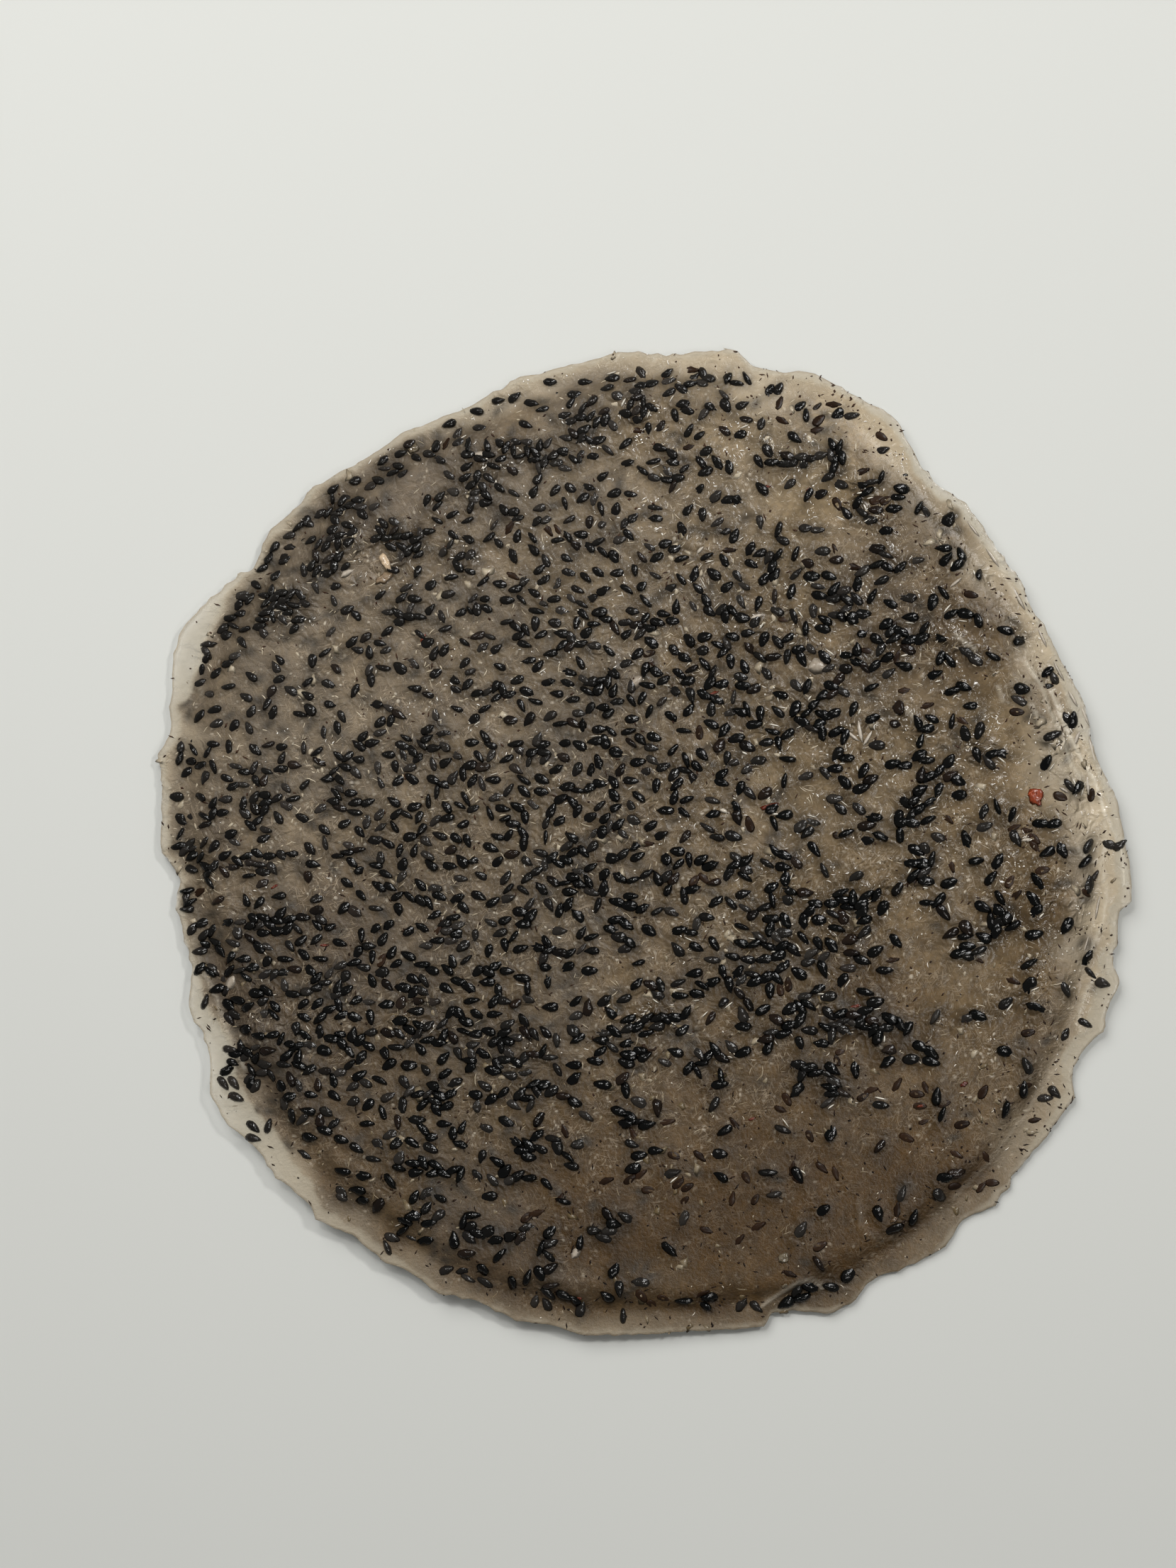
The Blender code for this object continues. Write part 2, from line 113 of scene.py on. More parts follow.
# --- sesame, as it lies in the sheet ---------------------------------------------------------
# Clumps of seeds: x and y of the middle, half of the length and of the width, the heading of
# the length, and how many seeds.
SEED_CLUMPS = (
    # the top and the upper left, where they lie thickest
    (-1, 93, 4, 2.5, 30, 7), (-12, 91, 7, 2, 0, 9), (1, 97, 4, 1.2, 10, 4),
    (12, 97, 2, 1, 0, 2), (9, 92, 3, 1.5, 10, 3), (20, 93, 2.5, 2, -20, 3),
    (20, 99, 2.5, 1.5, -30, 3), (-15, 87, 6, 2.5, 20, 8), (-24, 84, 5, 2, 15, 6),
    (-18, 81, 7, 2, 20, 9), (4, 78, 5, 3, 0, 9), (15, 81, 3, 1, -40, 3),
    (29.5, 80.6, 5, 0.6, 5, 5), (40, 81, 3, 1.2, 75, 4), (-11.5, 73.5, 3, 1, 80, 4),
    (12, 73.5, 2, 1.2, 15, 3), (-24.5, 68.5, 2.5, 1, 0, 4), (-13, 63.5, 5, 1.2, -20, 7),
    (-35, 91, 4, 2, 30, 5), (-46, 84, 7, 2.5, 18, 10), (-34, 83, 6, 2, 15, 8),
    (-36, 75, 5, 3, -30, 14), (-53, 80, 2.5, 2, 0, 4), (-61, 77, 6, 1.5, 25, 6),
    (-64, 70, 5.5, 3, 8, 9), (-66, 64, 5, 3, 30, 8),
    (-54, 66, 6, 2.5, 0, 9), (-50, 62, 5, 2, 40, 7),
    (-68, 57, 4, 3.5, 60, 9), (-78, 52, 7, 2, -5, 10), (-86, 50, 3, 1.2, 20, 2),
    (-77, 47, 4, 2, 0, 7), (-87, 43, 3, 3, 40, 5), (-53, 53, 2, 1.5, 40, 3),
    (-50, 49, 3, 1.5, 40, 6), (-57, 42, 3, 2, 30, 6), (-39, 59.5, 2.5, 1.5, 0, 5),
    (-27, 54, 5, 1.2, -15, 6), (-36, 51, 3, 2, 45, 5), (-15, 48, 6, 1, -5, 7),
    (-15.5, 41.5, 3, 2, 0, 6), (0, 46, 5, 2, 20, 9), (14, 41.5, 5, 1, 5, 8),
    (15, 50, 4, 2, -35, 6), (-27, 45, 3.5, 2.5, 0, 6), (-32, 32, 3, 2, 20, 5),
    (-24, 28.5, 2, 2, 0, 4), (-13, 27, 5, 2, 20, 8), (-11, 34, 5, 2, 0, 7), (-9, 22, 3, 1.5, 0, 4),
    # the upper right
    (27.5, 63.5, 3, 2.5, 60, 7), (40, 54.5, 4, 2.5, 0, 5), (32, 57, 2.5, 0.8, 80, 3),
    (44, 49, 3, 2, -20, 4), (52, 43.5, 3.5, 2, -10, 7), (54, 37.8, 2.6, 1.2, 20, 4),
    (33, 43, 1.5, 3, 0, 4), (27, 38, 2, 1.5, -30, 3), (38.5, 32.5, 4, 1.2, 30, 5),
    (24, 28, 6, 1, -5, 7), (34.5, 25.5, 4, 3, 0, 8), (71, 18.5, 4, 1.5, -5, 3),
    (63, 15, 4, 1.5, 15, 5),
    # the middle
    (60, 9.5, 4, 2.5, 20, 6), (57, 5.5, 2.5, 1.5, 0, 3), (8, 16, 4, 2.5, 30, 7),
    (-12, 11.8, 6, 0.7, 8, 5), (-37, 14, 2.5, 2.5, 50, 6), (-23, 19.5, 4, 1.5, -10, 8),
    (-11, 1, 4, 1.5, 35, 7), (-17, -3, 4, 0.8, 30, 5), (-15, -8, 4, 1.5, -25, 8),
    (-28.5, 6, 2, 1.5, 0, 4), (33, 4.3, 3, 1, -20, 4),
    (21.5, -6.5, 2, 2.5, 0, 5), (28, -5.5, 1.5, 2.5, 0, 4), (4, -8, 3.5, 2, -40, 4),
    (0, -13.5, 4, 1, -10, 5), (-6, -18.5, 3, 1.5, 0, 4), (29, -21, 2, 3.5, 0, 7),
    (24, -28.5, 3.5, 1.5, -10, 5), (45, -12, 5, 1.5, 0, 7), (43, -15.5, 4, 1, 5, 5),
    (-4, -41.5, 3.5, 2.5, 0, 11), (3, -38.5, 5, 1.2, 20, 5),
    (5, -31.5, 4, 1, -15, 6), (14, -46, 2.5, 2, -30, 5), (-13, -25, 1.5, 2, 0, 4),
    (35, -24.5, 2.5, 1.5, 0, 4),
    # the left
    (-49, 17, 3.5, 2.5, -60, 8), (-46, 22.5, 2.5, 1, 0, 4), (-55, 25, 2.5, 1.5, 20, 4),
    (-66, 10.5, 1.2, 3, 0, 5), (-64, 17.5, 2, 3, 0, 6), (-95, 19.5, 2, 1.5, 0, 2),
    (-83, 14, 5, 1.5, 10, 8), (-81, 7.5, 5, 3, -20, 14), (-89, 6, 2.5, 3, 0, 3),
    (-92, -5, 6, 5, -20, 11), (-84, -4, 5, 2.5, 0, 8), (-61, -3.5, 3, 2.5, 0, 5),
    (-72, -7, 2, 1.2, -30, 2), (-83, -17, 7, 1.5, 0, 9), (-77, -17.5, 4, 1, 5, 5),
    (-69.5, -16, 1.5, 2.5, 0, 4), (-42.5, -18, 2.5, 2, 0, 6), (-50.5, -13, 2.5, 1.2, 0, 5),
    (-93.5, -21.5, 2.5, 1.5, 0, 6), (-77, -25.5, 3, 3, 0, 7), (-86, -28, 3, 1, -5, 4),
    (-82, -34, 5, 2.5, 0, 9), (-68, -31, 3, 2, 0, 7), (-48, -33, 2.5, 3.5, 0, 9),
    (-32.5, -31, 2, 3, 0, 8), (-20.5, -23, 1.5, 1.5, 0, 5), (-48.5, -41.5, 2.5, 2, 0, 8),
    (-62, -41.5, 11, 0.8, 1, 16), (-81, -44.5, 6, 2.5, -10, 18), (-22, -43, 3.5, 2.5, -45, 10),
    (-37, -46.5, 2.5, 2, 10, 7), (-29, -47.5, 2.5, 2, -30, 7), (-28.5, -40.5, 2, 1.2, 0, 4),
    # the right
    (58, -4.5, 3, 4, 0, 9), (68.7, -21, 2.5, 2, 10, 6), (75.6, -16.8, 1.6, 1.8, 60, 5),
    (42, -37.8, 6, 1.8, 5, 13), (51.5, -39.5, 4, 1, 0, 6), (27, -40.3, 3, 0.8, 0, 4),
    (35.5, -48.3, 3, 1.2, -15, 5), (35.5, -33, 2, 1, 10, 3),
    # the bottom
    (-44, -54, 4, 2, 0, 8), (-23, -54, 3.5, 1.2, 10, 6), (-25, -65, 2, 1.5, 0, 5),
    (-0.5, -58, 2.5, 1.5, 0, 6), (-36, -70.3, 11, 1.3, -4, 12), (-36.5, -82.5, 2, 2.5, 0, 6),
    (-30, -84.5, 3, 0.8, 0, 3), (-45, -78, 2, 1.2, 0, 3), (-7, -81.5, 2, 2, 0, 5),
    (-7, -95, 1.2, 3.5, 10, 4), (-1, -67.5, 2, 1, 0, 4), (36, -95.3, 2.5, 1, 5, 3),
    (40.3, -53, 1.8, 1.5, -20, 3),
)
# Seeds that lie alone and are easily seen: x, y and heading.
LONE_SEEDS = (
    (-99, -11.5, 10), (-88.5, -48.5, 30), (22.3, -34.5, -55), (31, -35.5, 35),
    (26.5, -43.5, 60), (33.2, -43, -70),
    # the upper right, row by row from the top
    (41.3, 91.1, 40), (28.2, 96.2, 60), (41.1, 83.4, 75), (40.1, 80.5, -80), (39.2, 77.9, 30),
    (29.0, 80.6, 10), (31.8, 80.3, 30), (33.6, 81.6, 0), (30.9, 76.0, 40), (41.6, 76.0, -20),
    (34.9, 73.8, 60), (37.4, 73.9, 20), (48.0, 76.3, 10), (50.2, 77.2, 70), (46.3, 75.8, 0),
    (47.2, 74.2, 30), (54.7, 74.9, -10), (53.8, 73.1, 0), (58.4, 70.9, 60), (59.8, 70.0, -60),
    (45.1, 71.8, 60), (43.0, 69.8, -50), (47.7, 68.6, -10), (49.2, 70.5, 0), (53.0, 70.7, 5),
    (46.2, 70.0, -40), (64.4, 68.4, 40), (51.1, 66.0, 10), (34.7, 66.8, 10), (36.8, 66.4, 0),
    (37.8, 61.7, 0), (41.0, 59.9, 5), (49.4, 62.2, 5), (51.2, 61.0, -20), (49.4, 58.8, 20),
    (51.4, 58.4, -30), (54.4, 58.2, 45), (57.7, 59.7, 8), (63.4, 62.3, 0), (64.0, 59.9, 50),
    (67.3, 61.0, -70), (66.3, 58.6, 40), (40.8, 53.6, 50), (45.3, 54.9, 80), (50.4, 55.4, 25),
    (71.1, 56.9, 75), (48.4, 52.2, 60), (45.1, 51.6, -50), (52.2, 50.6, -25), (55.9, 51.9, 0),
    (61.2, 50.9, 75), (63.5, 52.8, -50), (40.5, 48.1, 0), (45.3, 47.8, -10), (56.4, 47.7, 0),
    (65.0, 48.3, 30), (68.0, 48.4, -10), (70.7, 47.1, -70), (59.4, 45.4, 55), (58.6, 43.1, 30),
    (62.5, 43.3, -20), (76.6, 44.8, -15), (79.6, 42.8, 30), (42.8, 39.7, 0), (45.2, 38.3, -20),
    (47.2, 37.0, -50), (50.1, 40.8, 65), (63.2, 39.0, 60), (64.6, 38.6, -55), (68.6, 40.1, -30),
    (70.2, 38.8, -30), (74.0, 39.3, -25), (61.7, 35.5, 25), (48.4, 32.9, 25), (42.3, 31.9, -25),
    (65.5, 32.0, 20), (67.8, 32.9, -20), (79.7, 32.4, 0), (79.6, 30.1, -25), (53.9, 28.7, -60),
    (69.3, 28.9, 5), (53.7, 25.1, 0), (58.3, 25.3, -60), (61.2, 26.1, -25), (59.9, 24.1, 10),
    (65.3, 25.6, 80), (58.7, 21.6, 70), (58.7, 18.0, 30), (68.1, 22.8, -75), (71.1, 23.6, 75),
    (49.4, 20.6, 0), (75.6, 18.7, -10), (85.1, 16.7, 60), (86.6, 22.6, 20), (91.1, 25.8, 85),
    (52.7, 16.5, 20), (55.4, 16.3, 10), (85.5, 36.0, 40),
    # the right, row by row
    (46.1, 11.3, 20), (40.7, 9.2, 0), (41.8, 7.1, -40), (45.6, 7.2, -40), (48.7, 5.3, -5),
    (47.4, 3.4, 10), (47.3, 0.2, 10), (50.4, 1.3, -20), (54.7, 4.7, 70), (60.3, 4.7, 25),
    (66.7, 10.0, 5), (72.2, 3.2, 20), (74.9, 7.4, -70), (72.0, 6.3, 70), (78.0, 5.7, 72),
    (78.8, 0.9, -60), (62.7, 0.7, -30), (68.4, 0.4, -72), (84.3, 3.9, 0), (86.6, 3.8, 15),
    (92.1, 11.6, 50), (90.2, 11.8, -55), (94.3, -0.8, 55), (93.6, -4.2, 40), (94.5, -8.9, 85),
    (85.6, -2.1, 25), (88.6, -1.6, -65), (70.7, -4.0, 5), (75.1, -4.1, 60), (73.6, -7.6, 50),
    (64.9, -8.7, 20), (83.3, -8.4, -60), (60.2, -12.9, 0), (62.7, -12.5, 45), (63.6, -15.1, -50),
    (71.8, -13.8, -25), (75.6, -12.0, -60), (82.4, -12.0, -50), (83.1, -14.7, 50),
    (50.7, -14.2, 60), (46.9, -19.3, 40), (82.9, -19.6, 10), (89.7, -17.7, 60), (68.9, -24.0, 0),
    (43.6, -20.9, 20), (53.6, -21.1, -50), (49.1, -23.3, 30), (44.0, -23.6, 0), (43.6, -26.9, 0),
    (46.4, -25.2, -20), (51.3, -27.3, 0), (42.2, -29.6, 60), (81.8, -25.8, 30), (94.3, -24.8, 60),
    (81.8, -30.6, 65), (89.5, -31.2, -60), (49.1, -34.3, 20), (62.0, -37.1, 60), (69.0, -37.4, 30),
    (71.0, -37.0, -20), (76.9, -34.3, 40), (83.2, -35.3, -25),
    # the bottom, row by row
    (52.4, -44.2, 10), (51.9, -46.7, 35), (59.0, -43.7, -25), (60.8, -45.0, -40),
    (56.9, -46.3, 5), (61.0, -46.6, -15), (76.8, -44.6, -20), (45.0, -48.4, -85),
    (81.5, -47.6, -60), (40.0, -52.3, -15), (39.7, -54.6, 35), (32.6, -52.8, 50),
    (16.0, -51.5, 10), (15.0, -55.8, 60), (62.3, -54.0, 82), (63.3, -58.0, 70), (50.2, -56.0, -5),
    (39.8, -61.8, 65), (50.2, -64.7, 50), (29.6, -61.2, -20), (17.2, -61.4, 30), (16.0, -66.4, 0),
    (5.9, -70.5, 20), (16.2, -71.1, -30), (26.4, -70.3, 0), (27.8, -75.0, 10), (38.0, -78.4, 40),
    (49.9, -79.2, -70), (63.0, -75.3, -40), (57.5, -80.0, 75), (33.4, -82.6, 60), (8.4, -80.1, 70),
    (5.2, -86.5, -40), (37.2, -89.7, -55), (-0.7, -93.4, -5), (8.4, -97.6, 0), (35.6, -94.9, -20),
    (40.0, -95.0, -15), (43.7, -92.4, 40), (33.6, -97.2, 15), (30.4, -98.5, 30),
    # close to the rim at the top and the left
    (-20, 98, 0), (-24, 93.4, -10), (-15, 94.6, 5), (-8, 96.5, 20), (5, 99.2, 40),
    (12, 97.8, -15), (17.8, 98.9, 70), (21.9, 98.6, -60), (27, 95.9, 60), (25, 89, 70),
    (17, 87.4, -35),
    (-41.6, 89.3, 20), (-36, 92.5, -5), (-31, 94, 10), (-97, -13, 30),
    (-96, -18.5, 60), (-94.5, -27, 50),
)
# Seeds along the rim at the left, from below to above: angle, radius and heading.
RIM_SEEDS = (
    (199, 96, 20), (196.6, 96.5, -40), (193.8, 97.2, 10), (190.4, 95.7, 30), (188, 98, 0),
    (186.8, 98.5, 80), (184.4, 92.8, 40), (183.4, 96.5, -20), (182.3, 94.2, 60),
    (180.5, 98.5, 10), (179, 98.7, 60), (177.3, 98.5, -50), (177.7, 93.3, 20), (176.3, 92.2, 70),
    (175.1, 91.9, 60), (174.5, 100, 0), (171.4, 98.5, 40), (169.6, 100.4, 70),
    (168.5, 100.6, 80), (170.1, 92.8, -70), (168.2, 94.5, 60), (164.2, 98.3, 50),
    (162.9, 95.4, 20), (160.3, 100.4, 30), (158.8, 101, 80), (157.2, 101, 60), (158.4, 97.8, 40),
    (159.5, 94.2, 10), (155.6, 95.4, 20), (153.2, 100.3, 40), (151.5, 100, 10),
    (149.9, 99.8, 60), (148.4, 100, 20), (150.1, 93.7, 0), (147.3, 93.7, 50), (146.2, 95.6, 80),
    (144.4, 100, 30), (142.9, 100.2, 60), (141.5, 100.6, 50), (139.2, 99.8, 20),
    (137.6, 99.6, 40), (136.4, 99.2, 70), (137.4, 93.3, 60), (134.8, 93.7, 30),
    (133.5, 96.5, 50), (131.9, 95.5, 20), (130.4, 93.3, 10), (131.4, 100, 40), (128.6, 98.4, 20),
    (127.5, 95.5, 30), (124.4, 98.4, 40), (124.7, 96.4, 0), (122.1, 97.6, 20), (120.5, 98.4, 30),
)
# Brown and olive hulls that still lie where their seeds were: x, y and heading.
BROWN_HULLS = (
    (11.9, -66.9, -40), (6.5, -66.7, -20), (21.8, -71.5, -60), (31.6, -69.4, 80),
    (37.9, -69.4, -40), (35.2, -62.6, -60), (24.3, -81.8, 30), (20.3, -84.6, 50),
    (8.6, -76.3, 50), (81.7, -40.5, 15), (81.2, -51.9, 10), (30, 47.3, 0), (46.2, 78.6, 20),
    (55.4, 32.2, 10), (10, 100.5, 0), (32.8, -71.8, -30), (40.8, -70.6, -70), (53.9, -51.7, 60),
    (63.8, -55.6, 15), (59.7, -59.5, 20), (66.3, -73.4, 5), (72.1, -53.2, 60), (23.7, -76.0, 60),
    (31.1, -91.9, -20), (37.4, -85.9, 30), (13.4, -82.6, -20), (18.8, -75.9, 80),
    (12.4, -96.2, 30), (4.1, -97, -20), (-0.5, -96.5, -50), (83.5, -59.4, 10), (72.9, -67.3, -60),
    (72.1, -73.7, 50), (74.4, -72.8, 0), (53.9, -78.2, 85), (55.0, -81.5, 60), (58.7, -56.2, 0),
    (28.8, 93.3, 70), (29.4, 89.4, -25), (40.4, 93, 0), (50.6, 86.2, -30), (41.1, 71.6, -60),
    (52.2, 46.4, 0), (60, 28.9, 20), (69.3, 52.4, -10), (79.1, 27.6, 0), (88.3, 9.6, -20),
    (95, 10, 80), (64.5, 4.9, -40), (77.7, -8.4, 60), (56.9, -8.9, 50), (65.3, -5.1, -70),
    (52.9, -25.1, 10), (46.9, -15.6, 40), (41.6, 1.4, 0), (16, -49.6, 10),
    (-42, -17, 10), (-44, -19, 50), (5, -59.5, 10), (-8, -72, 20), (-18, -76, 60), (1, -74, 0),
)

# --- what else lies in the face: folds of the rim, bubbles, bits of husk ---------------------
# The see-through band of the film: angle, width, and how clear it is from 0 to 1.
CLEAR_BANDS = (
    (2, 3.0, 0.60), (8, 2.2, 0.65), (12, 1.2, 0.50), (14, 3.2, 0.72), (19, 3.2, 0.72),
    (22, 1.6, 0.55), (33, 2.0, 0.65), (45, 2.6, 0.75), (55, 2.4, 0.75), (62, 1.8, 0.60),
    (85, 1.3, 0.40), (100, 1.5, 0.42), (120, 1.6, 0.45), (143, 1.5, 0.42), (149, 2.2, 0.65),
    (153, 5.2, 0.88), (158, 6.6, 0.93), (161, 5.0, 0.84), (164, 2.2, 0.60), (172, 2.0, 0.50),
    (180, 2.4, 0.60), (184, 0.9, 0.40), (189, 1.6, 0.60), (195, 1.6, 0.60), (199, 3.0, 0.80),
    (205, 5.6, 0.90), (212, 7.0, 0.90), (219, 5.6, 0.70), (230, 2.6, 0.40), (250, 1.2, 0.30),
    (278, 1.2, 0.25), (284, 1.0, 0.25), (293, 1.2, 0.28), (300, 0.8, 0.22), (306, 1.0, 0.26),
    (315, 1.7, 0.38), (320, 1.5, 0.36), (326, 2.6, 0.42), (331, 3.4, 0.50), (340, 4.4, 0.62),
    (345, 4.4, 0.64), (348, 1.6, 0.60), (353, 3.6, 0.65),
)
# How the starch pales towards the rim, partly with painted light: the light through the thin
# starch, the glints of the wet right rim, and light that evens out the shade of the shoulder.
# Angle, share and how far in; then where the torn edge is frosted white, with painted glints:
# angle and share.
RIM_PALENESS_AND_LIGHT = (
    (0, 0.92, 21), (15, 0.98, 14), (30, 0.92, 9), (45, 0.80, 11), (60, 0.70, 14), (75, 0.84, 14),
    (90, 0.75, 6), (105, 0.85, 6), (130, 0.60, 4.2), (145, 0.60, 4.0), (157, 0.75, 8),
    (168, 0.60, 9), (180, 0.55, 6), (195, 0.50, 4.5), (210, 0.82, 12), (235, 0.35, 7),
    (270, 0.25, 5), (285, 0.10, 6), (300, 0.13, 7), (315, 0.22, 9), (330, 0.62, 14),
    (345, 0.72, 17),
)
RIM_FROST_GLINT = (
    (0, 0.9), (20, 1.0), (55, 1.0), (64, 0.3), (150, 0.15), (175, 0.3), (187, 0.8), (196, 0.5),
    (215, 0.2), (300, 0.1), (340, 0.5),
)
# Folded or doubled edges of the film: their run, how high they stand, how wide they are and
# how pale the painted highlight on their crests is.
FOLDS = (
    (((54, 87), (58, 80), (66, 73.5), (70, 69), (76, 61), (80, 54), (84, 47), (88, 40),
      (92, 31), (95, 20), (98, 12)), 0.22, 0.8, 0.2),
    (((73, 64), (76, 58), (79, 52)), 0.30, 0.7, 0.5),
    (((86.5, 32), (88.6, 27), (90.6, 22), (93.2, 17), (95.6, 13)), 0.34, 0.6, 0.9),
    (((95.2, 14), (96.6, 10), (98.0, 6), (99.4, 3), (101.0, -0.5), (101.8, -4), (102, -9)),
     0.36, 0.5, 1.0),
    (((97.8, 4.5), (98.2, 0), (97.2, -5), (98.2, -10), (97.6, -17), (94.8, -24)), 0.26, 0.5, 0.5),
    (((81, 38), (84.5, 33), (86, 28), (88.4, 24), (90.3, 17), (93, 13.5)), 0.26, 0.7, 0.6),
    (((88.5, 12.6), (92, 12.2), (95.5, 12.4)), 0.2, 0.5, 0.7),
    (((92.2, -1.5), (94.5, -4), (97.5, -4.5)), 0.2, 0.5, 0.5),
    (((96.5, -28), (94, -32), (92.5, -37), (93, -41)), 0.22, 0.6, 0.5),
    (((90, -45), (86, -51), (80, -60), (73, -69), (66, -76)), 0.18, 0.6, 0.15),
    (((-91, 47), (-94, 40), (-95.5, 35), (-94, 31)), 0.25, 0.6, 0.2),
    (((-95, -25), (-91, -33), (-89, -40), (-85, -48)), 0.25, 0.6, 0.3),
    (((-97.5, -26), (-93.5, -34), (-91.3, -41), (-87, -49)), 0.18, 0.5, 0.2),
    (((25, -99), (30, -95.5), (33, -93.7), (36, -93.3), (38, -95)), 0.45, 0.6, 0.35),
    (((45.5, -76), (46, -82), (50, -85), (54, -84)), 0.20, 0.5, 0.1),
    (((66, 44), (68, 42.4), (70, 41)), 0.25, 0.6, 0.5),
    (((56, 28), (58, 25.8), (60, 24)), 0.22, 0.6, 0.5),
    (((75, 33), (76, 30)), 0.2, 0.6, 0.4),
    (((82, 29), (84, 25)), 0.2, 0.6, 0.4),
)
# Scraps that stand out: x, y, heading, length, width, height, and how strong their colour is.
RED_SKINS = (
    (83.0, 9.7, 80, 4.0, 3.4, 0.9, 1.0), (82.2, 10.3, 20, 1.8, 1.3, 0.9, 1.5),
    (83.6, 8.4, 120, 1.9, 1.2, 0.9, 0.6), (27, 7.5, 10, 5.0, 1.3, 0.4, 0.5),
    (14.5, 31.5, 20, 2.6, 0.6, 0.3, 0.5), (26, 75.5, 0, 2.2, 0.6, 0.3, 0.5),
    (35, 75, 30, 2.0, 0.6, 0.3, 0.4), (-47, 43.3, 60, 2.0, 0.8, 0.3, 0.6),
    (23, -59, 20, 1.8, 0.6, 0.3, 0.5), (-14, -97, 0, 2.0, 0.7, 0.3, 0.5),
    (68, -51.6, 30, 1.6, 1.0, 0.3, 0.45), (-68, -22, 0, 2.2, 0.6, 0.3, 0.5),
    (-78.5, -9.5, 30, 2.0, 0.6, 0.3, 0.5), (45, -35, 10, 2.2, 0.7, 0.3, 0.5),
    (59, -56.2, 15, 2.2, 0.6, 0.3, 0.5),
)
GOLDEN_HUSKS = (
    (-54.9, 59.4, 118, 4.8, 2.0, 1.1, 1.6), (-55.4, 56.0, 30, 3.8, 2.0, 0.9, 0.7),
    (-5.5, -37.5, 20, 2.4, 0.8, 0.4, 0.6),
    (-8.6, -35.4, 100, 1.6, 0.6, 0.4, 0.6), (53.2, -80.4, 40, 2.0, 1.0, 0.4, 0.3),
    (55.4, -82.6, -50, 3.4, 0.6, 0.3, 0.2),
)
PALE_CHIPS_AND_GLINTS = (
    (-63, 57, 30, 3.0, 1.4, 0.5, 0.9), (-25, 42, 0, 1.5, 1.2, 0.9, 1.4),
    (37, 37, 0, 4.0, 3.6, 0.5, 0.6), (-2, 34, 40, 4.2, 2.6, 0.4, 0.5),
    (-35, 82, 20, 3.2, 1.6, 0.5, 0.8), (-14.5, -87, 60, 3.0, 1.8, 0.4, 0.7),
    (46, 23.5, 100, 4.6, 0.9, 0.7, 1.2), (47.5, 22.0, 60, 3.6, 0.8, 0.6, 1.1),
    (44.5, 22.5, 140, 3.2, 0.8, 0.6, 1.0), (24, 48, 20, 2.6, 1.0, 0.6, 1.1),
    (17, 6.5, -20, 1.8, 1.0, 0.7, 1.3), (81, 0.5, 10, 2.2, 0.8, 0.5, 1.0),
    (12, 62, 50, 2.0, 0.8, 0.5, 1.1), (-88, -30, 60, 3.6, 2.2, 0.4, 0.7),
    (-91.5, -28, 20, 2.8, 2.0, 0.4, 0.6), (66, 55, 40, 3.2, 0.7, 0.4, 0.9),
    # from here on, long pale slivers along the folded right rim paint its glints
    (93.6, 27.0, 112, 5.0, 0.7, 0.4, 1.2), (95.2, 19.0, 105, 6.0, 0.8, 0.4, 1.3),
    (92.0, 22.0, 70, 3.4, 0.9, 0.4, 1.0), (94.2, 12.5, 95, 5.0, 0.8, 0.4, 1.2),
    (97.0, 9.0, 98, 4.0, 0.6, 0.3, 1.1), (91.0, 30.5, 120, 4.0, 0.8, 0.4, 1.0),
    (88.0, 36.5, 118, 5.0, 0.6, 0.4, 0.9), (84.5, 43.5, 115, 4.5, 0.7, 0.4, 1.0),
    (79.5, 52.0, 118, 6.0, 0.8, 0.4, 1.1), (74.0, 60.5, 125, 5.0, 0.8, 0.4, 1.0),
    (70.0, 66.5, 128, 4.0, 0.6, 0.3, 0.9), (89.0, 11.0, 150, 2.4, 0.7, 0.4, 0.8),
    (96.5, -14.0, 80, 5.0, 0.6, 0.3, 0.9), (94.0, -22.0, 75, 4.0, 0.6, 0.3, 0.8),
)
BUBBLE_RIMS = (
    (29.7, -88.5, 0, 2.6, 2.4, 0.4, 0.5), (-49.5, 84, 0, 2.8, 2.4, 0.4, 0.4),
    (-7, -36.3, 0, 3.0, 2.3, 0.4, 0.2), (30, -94.5, 20, 1.6, 1.3, 0.4, 0.5),
)
# Wet places where the face is crumpled and sparkles: x, y and reach.
SPARKLE_SPOTS = (
    (46, 23, 5), (24, 48, 5), (17, 6.5, 3), (81, 0.5, 4), (12, 62, 3), (30, 30, 6), (66, 42, 6),
    (60, 24, 6), (70, 20, 5), (90, 22, 6), (94, 8, 6), (80, 45, 5), (74, 58, 5), (10, -20, 4),
    (0, 10, 4), (-20, 12, 5), (-10, 40, 6), (-40, 60, 6), (-60, 62, 7), (-75, 50, 6),
    (-86, -10, 6), (-80, -38, 6), (-50, -36, 5), (-24, -44, 5), (40, -20, 6), (50, -8, 6),
    (2, -36, 5), (40, -38, 5), (0, 88, 6), (-34, 80, 6), (45, 74, 5), (84, -30, 5),
    (90, -14, 5), (64, 8, 5),
)

